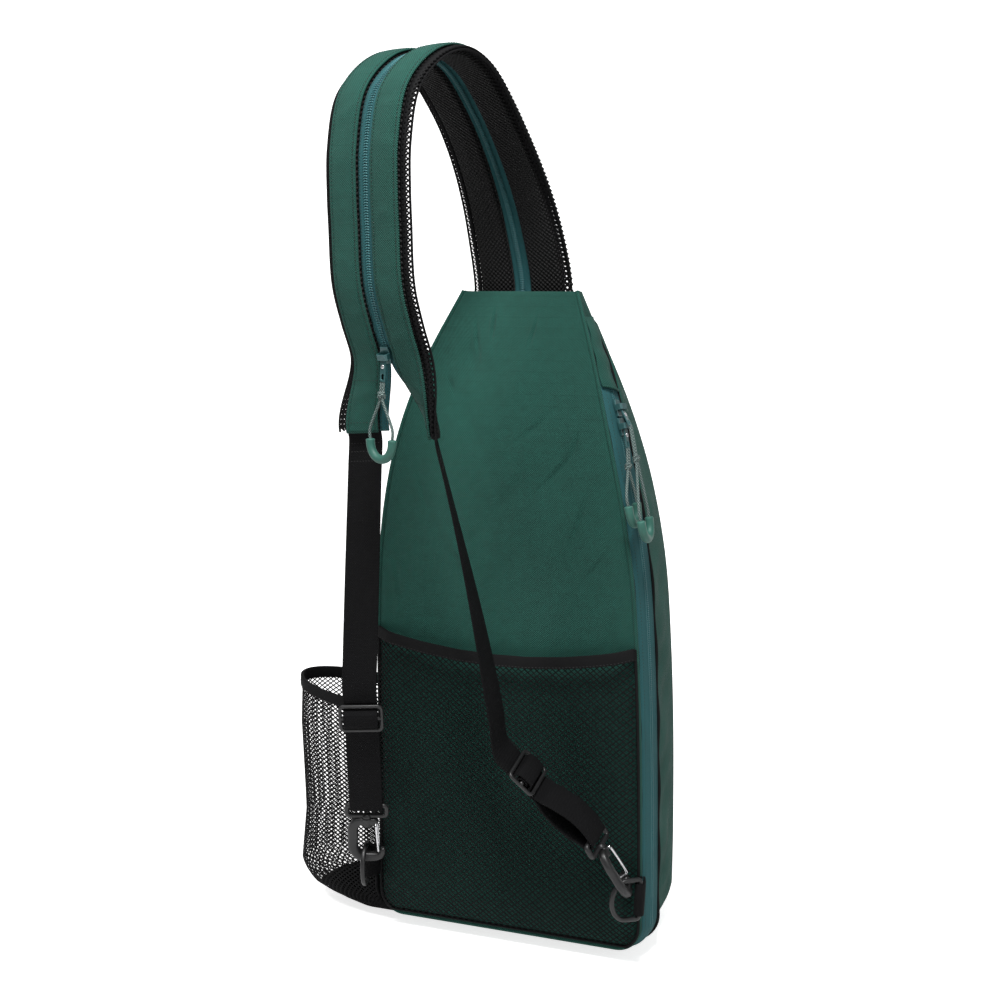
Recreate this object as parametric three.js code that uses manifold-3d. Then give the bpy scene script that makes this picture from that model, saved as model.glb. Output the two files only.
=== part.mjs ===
// Pickleball sling bag with a split padded strap, two clip-on webbings and mesh pockets.
// Millimetres. X runs along the bag's width, Y from the wearer's side to the front, Z up.
// Pieces are worked out in the bag's own frame: the origin is the middle of the back panel's
// bottom edge. The whole bag is then moved so that the strap's highest underside point,
// where it rests on a shoulder or a hook, is the origin.

import * as THREE from 'three';
import { mergeVertices } from 'three/addons/utils/BufferGeometryUtils.js';
import Module from 'manifold-3d';

const wasm = await Module();
wasm.setup();

// Driving dimensions
const bagWidth = 209;
const bagHeight = 482;
const bagDepth = 110;
const bagCornerRadius = 18;
const frontEdgeRadius = 13;
const backPanelWall = 3;
const clothWall = 2;
const seamGap = 0.4;
const frontDome = 8;
const gussetBulge = 6;

const zipTapeWidth = 12.5;
const zipTapeWall = 1.2;
const zipCoilWidth = 3.8;
const zipCoilHeight = 2.2;
const zipTopDrop = 20;

const strapWidth = 76;
const strapThickness = 8;
const strapReach = 162;
const strapRise = 158.5;
const strapLean = 19;
const strapBorder = 6.5;
const strapFaceWall = 1.4;
const strapSlitShare = 0.888;
const strapBackGap = 2.2;

const webbingWidth = 25;
const webbingWall = 1.4;
const layerGap = 0.4;

const netWall = 1.2;
const rimDip = 11;
const backPocketHeight = 231;
const backPocketSag = 12.5;
const backPocketGap = 6.5;
const hemHeight = 9;
const hemWall = 2.4;
const bottlePocketHeight = 176;
const bottlePocketDrop = 9;
const bottlePocketReach = 80;
const bottlePocketDepth = 74;

const hookThickness = 6;
const hookCavityWidth = 13;
const hookCavityHeight = 26;
const hookSpine = 8;
const hookFoot = 7.5;
const collarHeight = 6.5;
const postRadius = 2.1;
const swivelGap = 0.35;
const eyeBar = 4;
const eyeSlotHeight = 5.5;
const gateWire = 0.9;

const ringWire = 3.6;
const ringDepth = 22;
const tabWall = 1.6;

const glideHeight = 24;
const glideWall = 2.2;

const gripRadius = 3.2;
const gripWidth = 27;
const pullCordRadius = 1;
const sliderLength = 12;
const sliderWidth = 8.4;
const sliderWall = 2;

// Colours of the finishes
const cloth = { color: 0x1f5a46, roughness: 0.85, metalness: 0 };
const tape = { color: 0x1f5f63, roughness: 0.8, metalness: 0 };
const blackNet = { color: 0x0c0c0d, roughness: 0.9, metalness: 0 };
const blackWeb = { color: 0x121214, roughness: 0.8, metalness: 0 };
const blackPlastic = { color: 0x101012, roughness: 0.45, metalness: 0 };
const greenPlastic = { color: 0x1c5a47, roughness: 0.5, metalness: 0 };
const paintedMetal = { color: 0x22656a, roughness: 0.4, metalness: 0.6 };
const brightWire = { color: 0xc8c8cc, roughness: 0.2, metalness: 1 };

const halfWidth = bagWidth / 2;
const degrees = Math.PI / 180;

const bag = new THREE.Group();

// Small tools

const vec = (x, y, z) => new THREE.Vector3(x, y, z);
const mix = (a, b, k) => a + (b - a) * k;

function ease(x) {
  const k = Math.min(1, Math.max(0, x));
  return k * k * (3 - 2 * k);
}

// Smooth reading of one column of a table of shares, keyed by another column
function read(table, key, column, at) {
  let i = 0;
  while (i < table.length - 2 && table[i + 1][key] < at) i += 1;
  const slope = (j) => {
    const a = table[Math.max(0, j - 1)];
    const b = table[Math.min(table.length - 1, j + 1)];
    return (b[column] - a[column]) / (b[key] - a[key]);
  };
  const [lo, hi] = [table[i], table[i + 1]];
  const step = hi[key] - lo[key];
  const k = Math.min(1, Math.max(0, (at - lo[key]) / step));
  const start = (1 + 2 * k) * (1 - k) * (1 - k) * lo[column] + k * (1 - k) * (1 - k) * step * slope(i);
  return start + k * k * (3 - 2 * k) * hi[column] + k * k * (k - 1) * step * slope(i + 1);
}

function add(name, geometry, finish) {
  const mesh = new THREE.Mesh(geometry, new THREE.MeshStandardMaterial(finish));
  mesh.name = name;
  bag.add(mesh);
  return mesh;
}

function fromTriangles(position, index) {
  let volume = 0;
  const at = (i) => vec(position[3 * i], position[3 * i + 1], position[3 * i + 2]);
  for (let i = 0; i < index.length; i += 3) {
    volume += at(index[i]).dot(at(index[i + 1]).cross(at(index[i + 2])));
  }
  if (volume < 0) index.reverse();
  const geometry = new THREE.BufferGeometry();
  geometry.setAttribute('position', new THREE.Float32BufferAttribute(position, 3));
  geometry.setIndex(index);
  geometry.computeVertexNormals();
  return geometry;
}

// A wall between two grids of points, closed round its four edges
function wallBetween(outer, inner) {
  const rows = outer.length;
  const columns = outer[0].length;
  const position = [];
  for (const grid of [outer, inner]) {
    for (const row of grid) {
      for (const p of row) position.push(p.x, p.y, p.z);
    }
  }
  const index = [];
  const at = (layer, r, c) => (layer * rows + r) * columns + c;
  const quad = (a, b, c, d) => index.push(a, b, c, a, c, d);
  for (let r = 0; r < rows - 1; r += 1) {
    for (let c = 0; c < columns - 1; c += 1) {
      quad(at(0, r, c), at(0, r, c + 1), at(0, r + 1, c + 1), at(0, r + 1, c));
      quad(at(1, r, c), at(1, r + 1, c), at(1, r + 1, c + 1), at(1, r, c + 1));
    }
    quad(at(0, r, 0), at(0, r + 1, 0), at(1, r + 1, 0), at(1, r, 0));
    quad(at(0, r, columns - 1), at(1, r, columns - 1), at(1, r + 1, columns - 1), at(0, r + 1, columns - 1));
  }
  for (let c = 0; c < columns - 1; c += 1) {
    quad(at(0, 0, c), at(1, 0, c), at(1, 0, c + 1), at(0, 0, c + 1));
    quad(at(0, rows - 1, c), at(0, rows - 1, c + 1), at(1, rows - 1, c + 1), at(1, rows - 1, c));
  }
  return fromTriangles(position, index);
}

// The same grid moved along its own normals
function moved(grid, distance) {
  return grid.map((row, r) => row.map((p, c) => {
    const down = grid[Math.min(grid.length - 1, r + 1)][c].clone().sub(grid[Math.max(0, r - 1)][c]);
    const along = row[Math.min(row.length - 1, c + 1)].clone().sub(row[Math.max(0, c - 1)]);
    return p.clone().addScaledVector(down.cross(along).normalize(), distance);
  }));
}

const wallOf = (grid, thickness) => wallBetween(grid, moved(grid, thickness));
const inwards = (grid, wall) => grid.map((row) => row.map((p) => p.clone().add(vec(0, wall, 0))));

// A constant outline carried along frames of place, across and out directions
function carried(frames, section) {
  const position = [];
  for (const f of frames) {
    for (const [a, h] of section) {
      const p = f.place.clone().addScaledVector(f.across, a).addScaledVector(f.out, h);
      position.push(p.x, p.y, p.z);
    }
  }
  const n = section.length;
  const index = [];
  for (let i = 0; i < frames.length - 1; i += 1) {
    for (let j = 0; j < n; j += 1) {
      const k = (j + 1) % n;
      const [a, b, c, d] = [i * n + j, i * n + k, (i + 1) * n + k, (i + 1) * n + j];
      if (section[j][0] <= section[k][0]) index.push(a, b, c, a, c, d);
      else index.push(a, b, d, b, c, d);
    }
  }
  const outline = section.map(([a, h]) => new THREE.Vector2(a, h));
  const last = (frames.length - 1) * n;
  for (const [a, b, c] of THREE.ShapeUtils.triangulateShape(outline, [])) {
    index.push(a, c, b, last + a, last + b, last + c);
  }
  return fromTriangles(position, index);
}

const flatSection = (width, wall) => [
  [-width / 2, -wall / 2],
  [width / 2, -wall / 2],
  [width / 2, wall / 2],
  [-width / 2, wall / 2],
];

function tube(points, radius, sides, steps) {
  const outline = new THREE.Shape();
  for (let i = 0; i < sides; i += 1) {
    const angle = (2 * Math.PI * i) / sides;
    const [x, y] = [radius * Math.cos(angle), radius * Math.sin(angle)];
    if (i === 0) outline.moveTo(x, y);
    else outline.lineTo(x, y);
  }
  outline.closePath();
  const path = new THREE.CatmullRomCurve3(points, false, 'centripetal');
  return new THREE.ExtrudeGeometry(outline, { extrudePath: path, steps, curveSegments: 1 });
}

// Boolean joins and cuts
function solidOf(geometry) {
  const bare = geometry.index ? geometry.toNonIndexed() : geometry.clone();
  bare.deleteAttribute('normal');
  bare.deleteAttribute('uv');
  const merged = mergeVertices(bare, 1e-4);
  return new wasm.Manifold(new wasm.Mesh({
    numProp: 3,
    vertProperties: new Float32Array(merged.attributes.position.array),
    triVerts: new Uint32Array(merged.index.array),
  }));
}

function geometryOf(solid) {
  const { vertProperties, triVerts } = solid.getMesh();
  const geometry = new THREE.BufferGeometry();
  geometry.setAttribute('position', new THREE.BufferAttribute(new Float32Array(vertProperties), 3));
  geometry.setIndex(new THREE.BufferAttribute(new Uint32Array(triVerts), 1));
  return geometry;
}

// A flat plate cut from an outline with holes, centred on its thickness, edges broken
function plate(outline, thickness, edge, segments = 5) {
  const geometry = new THREE.ExtrudeGeometry(outline, {
    depth: thickness - 2 * edge,
    bevelEnabled: edge > 0,
    bevelThickness: edge,
    bevelSize: edge,
    bevelOffset: -edge,
    bevelSegments: 1,
    curveSegments: segments,
  });
  return geometry.translate(0, 0, edge - thickness / 2);
}

function roundedBox(target, width, height, radius, cx = 0, cy = 0) {
  const [x, y, r] = [width / 2, height / 2, radius];
  target.moveTo(cx - x + r, cy - y);
  target.lineTo(cx + x - r, cy - y);
  target.absarc(cx + x - r, cy - y + r, r, -Math.PI / 2, 0, false);
  target.lineTo(cx + x, cy + y - r);
  target.absarc(cx + x - r, cy + y - r, r, 0, Math.PI / 2, false);
  target.lineTo(cx - x + r, cy + y);
  target.absarc(cx - x + r, cy + y - r, r, Math.PI / 2, Math.PI, false);
  target.lineTo(cx - x, cy - y + r);
  target.absarc(cx - x + r, cy - y + r, r, Math.PI, 1.5 * Math.PI, false);
  return target;
}

// Bag body. Each row gives, at a share of the height, the half width as a share of half the
// bag's width, and the back and front faces as shares of its depth.
const bagProfile = [
  { height: 0.00, half: 1.000, back: 0.000, front: 0.965 },
  { height: 0.12, half: 0.998, back: 0.000, front: 0.990 },
  { height: 0.30, half: 0.990, back: -0.020, front: 0.975 },
  { height: 0.45, half: 0.972, back: -0.050, front: 0.930 },
  { height: 0.58, half: 0.938, back: -0.085, front: 0.875 },
  { height: 0.70, half: 0.857, back: -0.110, front: 0.800 },
  { height: 0.80, half: 0.750, back: -0.085, front: 0.700 },
  { height: 0.90, half: 0.606, back: 0.040, front: 0.560 },
  { height: 1.00, half: 0.419, back: 0.235, front: 0.410 },
];

// Soft dents and folds of the back panel: middle as shares of half width and height, length
// and breadth as shares of the bag's width, depth as a share of its depth, angle in degrees.
const backFolds = [
  { across: 0.30, height: 0.72, long: 0.34, broad: 0.060, deep: 0.022, angle: 40 },
  { across: 0.52, height: 0.60, long: 0.26, broad: 0.045, deep: 0.018, angle: 55 },
  { across: -0.45, height: 0.90, long: 0.16, broad: 0.040, deep: 0.022, angle: -35 },
  { across: -0.30, height: 0.62, long: 0.30, broad: 0.080, deep: -0.015, angle: -60 },
  { across: 0.10, height: 0.86, long: 0.22, broad: 0.070, deep: -0.018, angle: 70 },
];

const plainHalfAt = (z) => halfWidth * read(bagProfile, 'height', 'half', z / bagHeight);
const backAt = (z) => bagDepth * read(bagProfile, 'height', 'back', z / bagHeight);
const frontAt = (z) => bagDepth * read(bagProfile, 'height', 'front', z / bagHeight);

// Half width of the bag's outline, or of an outline drawn an inset inside it
function halfWidthAt(z, inset = 0) {
  const r = Math.max(1, bagCornerRadius - inset);
  const above = z - inset;
  const corner = above < r ? r - Math.sqrt(Math.max(0, r * r - (r - above) * (r - above))) : 0;
  const slope = (plainHalfAt(z + 1) - plainHalfAt(z - 1)) / 2;
  return plainHalfAt(z) - inset * Math.hypot(1, slope) - corner;
}

function foldAt(share, z) {
  let sum = 0;
  for (const f of backFolds) {
    const dx = (share - f.across) * halfWidth;
    const dz = z - f.height * bagHeight;
    const along = dx * Math.cos(f.angle * degrees) + dz * Math.sin(f.angle * degrees);
    const aside = dz * Math.cos(f.angle * degrees) - dx * Math.sin(f.angle * degrees);
    const far = (along / (f.long * bagWidth)) ** 2 * 4 + (aside / (f.broad * bagWidth)) ** 2;
    sum += f.deep * bagDepth * Math.exp(-far);
  }
  return sum * (1 - share ** 4);
}

// Heights of the rows of points: close together round the bottom corner, even above it
const cornerSteps = 5;
const heightSteps = 12;
function levelsFor(inset, top) {
  const rows = [];
  const r = Math.max(1, bagCornerRadius - inset);
  for (let i = 0; i < cornerSteps; i += 1) {
    rows.push(inset + r * (1 - Math.cos((i / cornerSteps) * Math.PI / 2)));
  }
  for (let i = 0; i <= heightSteps; i += 1) rows.push(mix(inset + r, top, i / heightSteps));
  return rows;
}

function backPanel() {
  const columns = 7;
  const grid = levelsFor(0, bagHeight).map((z) => {
    const row = [];
    for (let c = 0; c <= columns; c += 1) {
      const share = mix(-1, 1, c / columns);
      row.push(vec(share * halfWidthAt(z), backAt(z) + foldAt(share, z), z));
    }
    return row;
  });
  const inner = grid.map((row) => row.map((p) => p.clone().add(vec(0, backPanelWall, 0))));
  add('back_panel', wallBetween(grid, inner), cloth);
}

// The front panel stands inside the front roll of the gusset
const frontSeamInset = frontEdgeRadius + 2;
const frontSeamGap = 2 * seamGap;

function frontPanel() {
  const columns = 6;
  const inset = frontSeamInset + frontSeamGap;
  const grid = levelsFor(inset, bagHeight).map((z) => {
    const rise = ease((z - inset) / (bagHeight * 0.15)) * ease((bagHeight - z) / (bagHeight * 0.3));
    const row = [];
    for (let c = 0; c <= columns; c += 1) {
      const share = mix(-1, 1, c / columns);
      const dome = frontDome * (1 - share ** 2) * rise;
      row.push(vec(share * halfWidthAt(z, inset), frontAt(z) + dome, z));
    }
    return row;
  });
  const inner = grid.map((row) => row.map((p) => p.clone().add(vec(0, -clothWall, 0))));
  add('front_panel', wallBetween(grid, inner), cloth);
}

// The bag's outline seen from the front: down the right side, round the bottom, up the left.
// The side zip runs from zipTop to the end of the bottom right corner.
const zipTop = bagHeight - zipTopDrop;
const bottomFlat = plainHalfAt(0) - bagCornerRadius;

function outlineStations() {
  const rows = levelsFor(0, bagHeight);
  const sideRows = [...rows.slice(0, -1).filter((z) => Math.abs(z - zipTop) > 8), zipTop,
    bagHeight - zipTopDrop * 0.3, bagHeight];
  const right = [...sideRows].reverse().map((z) => ({ place: vec(halfWidthAt(z), 0, z), side: 1 }));
  const bottom = [];
  const bottomSteps = 4;
  const turn = 8;
  bottom.push({ place: vec(bottomFlat - turn, 0, 0), side: 0 });
  for (let i = 1; i < bottomSteps; i += 1) {
    bottom.push({ place: vec(mix(bottomFlat, -bottomFlat, i / bottomSteps), 0, 0), side: 0 });
  }
  const left = sideRows.map((z) => ({ place: vec(-halfWidthAt(z), 0, z), side: -1 }));
  const all = [...right, ...bottom, ...left];
  return all.map((s, i) => {
    const before = all[Math.max(0, i - 1)].place;
    const after = all[Math.min(all.length - 1, i + 1)].place;
    const along = after.clone().sub(before).normalize();
    return { place: s.place, outward: vec(-along.z, 0, along.x), side: s.side };
  });
}

const stations = outlineStations();
const zipped = (station) => station.side === 1 && station.place.z <= zipTop;
const zipBandWidth = 2 * zipTapeWidth + 5 * seamGap;
const zipNarrow = 0.6;
const zipBandAt = (z) => zipBandWidth * mix(zipNarrow, 1, ease((bagHeight - z) / (bagHeight * 0.25)));
const seamLineAt = (z) => backAt(z) + backPanelWall + seamGap;
const gussetColumns = [0, 0.2, 0.55, 1];

// How far the side wall swells outwards, quickly behind the back seam and then flat
function bulgeAt(z, y) {
  const start = seamLineAt(z);
  const end = frontAt(z) - frontEdgeRadius;
  const share = Math.min(1, Math.max(0, (y - start) / Math.max(1, end - start)));
  return gussetBulge * Math.sin(Math.PI * share ** 0.6) * ease((end - start) / (bagDepth * 0.6));
}

// One line over the depth of the side wall, from its back edge to the front seam
function sideLine(station) {
  const z = station.place.z;
  const front = frontAt(z);
  const start = seamLineAt(z) + (zipped(station) ? zipBandAt(z) : 0);
  const roll = Math.min(frontEdgeRadius, (front - start) * 0.4);
  const line = gussetColumns.map((share) => {
    const y = mix(start, front - roll, share);
    const p = station.place.clone().addScaledVector(station.outward, bulgeAt(z, y));
    return p.setY(y);
  });
  for (const angle of [45, 90]) {
    const inset = frontEdgeRadius * (1 - Math.cos(angle * degrees));
    const p = station.place.clone().addScaledVector(station.outward, -inset);
    line.push(p.setY(front - roll + roll * Math.sin(angle * degrees)));
  }
  const flat = station.place.clone().addScaledVector(station.outward, -frontSeamInset);
  line.push(flat.setY(front));
  return line;
}

const gusset = () => add('gusset', wallOf(stations.map(sideLine), -clothWall), cloth);

// Side zip: two tapes with the coil between them, and two sliders mouth to mouth
function zipStrip(from, to) {
  const grid = stations.filter(zipped).map((station) => {
    const z = station.place.z;
    const start = seamLineAt(z);
    const width = zipBandAt(z) - 2.5 * seamGap;
    return [from, (from + to) / 2, to].map((share) => {
      const y = start + width * share;
      return station.place.clone().addScaledVector(station.outward, bulgeAt(z, y)).setY(y);
    });
  });
  return wallOf(grid, -zipTapeWall);
}

function sideZip() {
  const middle = 0.5;
  const half = seamGap / zipBandWidth;
  add('side_zip_tape_back', zipStrip(0, middle - half), tape);
  add('side_zip_tape_front', zipStrip(middle + half, 1), tape);
}

backPanel();
frontPanel();
gusset();
sideZip();

// Places along the zip's middle, for the sliders and their pulls
function zipPoint(z, aside) {
  const y = seamLineAt(z) + (zipBandAt(z) - seamGap) / 2 + aside;
  return vec(halfWidthAt(z) + bulgeAt(z, y), y, z);
}

function zipFrameAt(z) {
  const step = 2;
  const along = zipPoint(z + step, 0).sub(zipPoint(z - step, 0)).normalize();
  const wide = zipPoint(z, step).sub(zipPoint(z, -step));
  const out = wide.clone().cross(along).normalize();
  return { place: zipPoint(z, 0), along, out, across: along.clone().cross(out) };
}

// Padded strap. Each row gives a point of the strap's middle: how far it reaches towards the
// wearer, as a share of strapReach, and its height over the bag's top as a share of strapRise.
const strapRoute = [
  { reach: 0.010, rise: -0.070 },
  { reach: 0.000, rise: 0.020 },
  { reach: 0.067, rise: 0.285 },
  { reach: 0.133, rise: 0.455 },
  { reach: 0.220, rise: 0.620 },
  { reach: 0.345, rise: 0.800 },
  { reach: 0.495, rise: 0.950 },
  { reach: 0.640, rise: 1.000 },
  { reach: 0.785, rise: 0.960 },
  { reach: 0.935, rise: 0.820 },
  { reach: 0.990, rise: 0.600 },
  { reach: 0.995, rise: 0.410 },
  { reach: 0.990, rise: 0.280 },
  { reach: 0.975, rise: 0.030 },
  { reach: 0.925, rise: -0.135 },
  { reach: 0.870, rise: -0.280 },
  { reach: 0.810, rise: -0.600 },
];

// How each half of the strap stands off at its free end: moved over by shares of the strap's
// width, and turned about its own length in degrees
const halfEnds = {
  left: { side: -1, right: -0.16, away: -0.02, turn: -22 },
  right: { side: 1, right: 0.08, away: 0.10, turn: 48 },
};

const strapRoot = backAt(bagHeight) + backPanelWall + strapThickness / 2 + strapBackGap;
const strapBase = vec(0, strapRoot, bagHeight);
const lean = strapLean * degrees;
const strapCurve = new THREE.CatmullRomCurve3(strapRoute.map((row) => vec(
  -Math.sin(lean) * row.reach * strapReach,
  -Math.cos(lean) * row.reach * strapReach,
  row.rise * strapRise,
).add(strapBase)), false, 'centripetal');

function strapFrame(share) {
  const place = strapCurve.getPointAt(share);
  const along = strapCurve.getTangentAt(share);
  const turn = lean * ease(share / 0.3);
  const across = vec(Math.cos(turn), -Math.sin(turn), 0);
  across.addScaledVector(along, -across.dot(along)).normalize();
  return { place, along, across, out: along.clone().cross(across) };
}

// One half of the strap, measured from the zip's edge outwards
function halfFrame(share, end) {
  const frame = strapFrame(share);
  const free = ease((share - strapSlitShare) / (1 - strapSlitShare));
  const middle = (end.side * strapWidth) / 4;
  const turn = end.turn * degrees * free;
  const centre = frame.place.clone().addScaledVector(frame.across, middle);
  centre.x += end.right * strapWidth * free;
  centre.y += end.away * strapWidth * free;
  const across = frame.across.clone().applyAxisAngle(frame.along, turn);
  const out = frame.out.clone().applyAxisAngle(frame.along, turn);
  const place = centre.clone().addScaledVector(across, -middle).addScaledVector(out, -strapThickness / 2);
  return { place, along: frame.along, across, out, centre };
}

const strapSteps = 22;
function halfFrames(end, upTo = 1) {
  const frames = [];
  for (let i = 0; i <= strapSteps * upTo; i += 1) frames.push(halfFrame(i / strapSteps, end));
  return frames;
}

const half = strapWidth / 2;
const tapeHalf = zipTapeWidth / 2 + seamGap / 2;
const padTop = strapThickness - strapFaceWall - 2 * layerGap;
const padRound = strapThickness * 0.18;
const padSection = [
  [tapeHalf + seamGap, padRound],
  [tapeHalf + 2 * padRound, 0],
  [half - strapBorder, 0],
  [half - padRound, padRound],
  [half, padTop * 0.52],
  [half - padRound, padTop * 0.7],
  [half - strapBorder + padRound * 0.7, padTop - padRound * 0.4],
  [half - strapBorder - padRound, padTop],
  [tapeHalf + seamGap, padTop],
];
const faceLow = padTop + layerGap;
const faceSection = [
  [tapeHalf + seamGap, faceLow],
  [half - strapBorder - padRound, faceLow],
  [half - strapBorder, faceLow + strapFaceWall * 0.36],
  [half - strapBorder - padRound, faceLow + strapFaceWall],
  [tapeHalf + padRound, faceLow + strapFaceWall],
  [tapeHalf + seamGap, faceLow + strapFaceWall * 0.64],
];
const tapeLevel = zipCoilHeight + 3 * layerGap;
const tapeSection = [
  [seamGap / 2, tapeLevel],
  [tapeHalf, tapeLevel],
  [tapeHalf, tapeLevel + zipTapeWall],
  [seamGap / 2, tapeLevel + zipTapeWall],
];
const coilTop = tapeLevel - layerGap;
const coilSection = [
  [-zipCoilWidth / 2, coilTop - zipCoilHeight * 0.7],
  [-zipCoilWidth / 4, coilTop - zipCoilHeight],
  [zipCoilWidth / 4, coilTop - zipCoilHeight],
  [zipCoilWidth / 2, coilTop - zipCoilHeight * 0.7],
  [zipCoilWidth / 2, coilTop],
  [-zipCoilWidth / 2, coilTop],
];
function mirrored(section, side) {
  const placed = section.map(([a, h]) => [side * a, h]);
  return side < 0 ? placed.reverse() : placed;
}

function strap() {
  for (const [name, end] of Object.entries(halfEnds)) {
    const frames = halfFrames(end);
    add(`strap_pad_${name}`, carried(frames, mirrored(padSection, end.side)), blackNet);
    add(`strap_face_${name}`, carried(frames, mirrored(faceSection, end.side)), cloth);
    add(`strap_zip_tape_${name}`, carried(frames, mirrored(tapeSection, end.side)), tape);
  }
  const closed = halfFrames({ side: 0, right: 0, away: 0, turn: 0 }, strapSlitShare);
  add('strap_zip_coil', carried(closed, coilSection), tape);
}
strap();

// Runs of webbing, rings and hooks at the two lower corners. Each side's row holds, in the
// bag's frame: the strap half it starts from, the middle of the ring's straight bar, the way
// the ring bows from it, the way the hook hangs up from the ring, the middle of the
// tri-glide, the way the hook's mouth faces, the way the webbing's width runs, the way from
// the bar to the seam that holds its tab, the webbing's sag and the spread of its two layers.
// Both bars stand upright, and the hooks pull on the upper corner of the rings' bows.
// A bar stands out from a bottom corner at a share of the bag's height; a tri-glide hangs at
// shares of half the bag's width, of the strap's reach and of the bag's height.
const ringAside = 7.5;
const ringBehind = 8;
const atCorner = (side, aside, behind, rise) => vec(side * (halfWidth + aside), -behind, rise * bagHeight);
const atRun = (across, reach, rise) => vec(across * halfWidth, -reach * strapReach, rise * bagHeight);
const rigs = {
  left: {
    end: halfEnds.left,
    bar: atCorner(-1, ringAside, ringBehind, 0.087),
    bow: vec(0.25, -0.96, 0.1),
    hang: vec(0.12, -0.26, 0.96),
    glide: atRun(-0.886, 0.346, 0.357),
    mouth: vec(0.93, 0.37, 0),
    across: vec(0.93, 0.37, 0),
    seam: vec(5.4, 8.6, 0),
    sag: 0,
    spread: 0,
  },
  right: {
    end: halfEnds.right,
    bar: atCorner(1, ringAside - 3.5, ringBehind + 5.5, 0.0975),
    bow: vec(-0.75, -0.66, 0.05),
    hang: vec(-0.48, -0.2, 0.86),
    glide: atRun(0.318, 0.265, 0.295),
    mouth: vec(-0.25, 0.93, 0.05),
    across: vec(0, 0.9, 0.35),
    seam: vec(-2, 14.1, 0),
    sag: 2,
    spread: 5,
  },
};

// Three directions of a rigid piece: its up, and the other two squared to it
function squared(up, hint) {
  const z = up.clone().normalize();
  const x = hint.clone().addScaledVector(z, -hint.dot(z)).normalize();
  const y = z.clone().cross(x);
  return new THREE.Matrix4().makeBasis(x, y, z);
}

function placed(geometry, turn, at) {
  return geometry.clone().applyMatrix4(turn.clone().setPosition(at));
}

// Tri-glide: a flat plate with two slots on either side of its middle bar
const glideBar = 2.8;
const glideSlot = (glideHeight - 3 * glideBar) / 2;
const glideWidth = webbingWidth + 8;

function glidePlate() {
  const outline = roundedBox(new THREE.Shape(), glideWidth, glideHeight, 3);
  for (const side of [-1, 1]) {
    const middle = (side * (glideBar + glideSlot)) / 2;
    outline.holes.push(roundedBox(new THREE.Path(), webbingWidth + 1.6, glideSlot, 1, 0, middle));
  }
  return plate(outline, glideWall, 0.5, 1).rotateX(Math.PI / 2);
}

// Webbing: one band from the strap's end, through the tri-glide, round the hook's eye and
// back to the tri-glide's middle bar. Rows give its way through the tri-glide: down from the
// plate's middle, as shares of half the plate's height, and out from the plate, as shares of
// the level where a band lies over a bar.
const bandLevel = glideWall / 2 + layerGap + webbingWall / 2;
const bandStack = webbingWall + layerGap;
const glideWay = [
  { down: -2.2, out: -0.4 },
  { down: -1.35, out: -1 },
  { down: -0.74, out: -1 },
  { down: -0.58, out: 0.1 },
  { down: -0.5, out: 1.5 },
  { down: -0.3, out: 1.95 },
  { down: 0.3, out: 1.95 },
  { down: 0.5, out: 1.5 },
  { down: 0.58, out: 0.1 },
  { down: 0.74, out: -1 },
  { down: 1.35, out: -1 },
];
const returnWay = [
  { down: 1.35, out: -1.95 },
  { down: 0.74, out: -1.95 },
  { down: 0.36, out: -1.25 },
  { down: 0, out: -1 },
  { down: -0.18, out: -1 },
  { down: -0.31, out: -0.45 },
  { down: -0.31, out: 0.45 },
  { down: -0.18, out: 1 },
  { down: 0.18, out: 1 },
  { down: 0.31, out: 0.3 },
];

const eyeWrap = eyeBar / 2 + 1.5 * layerGap + webbingWall / 2;

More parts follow.
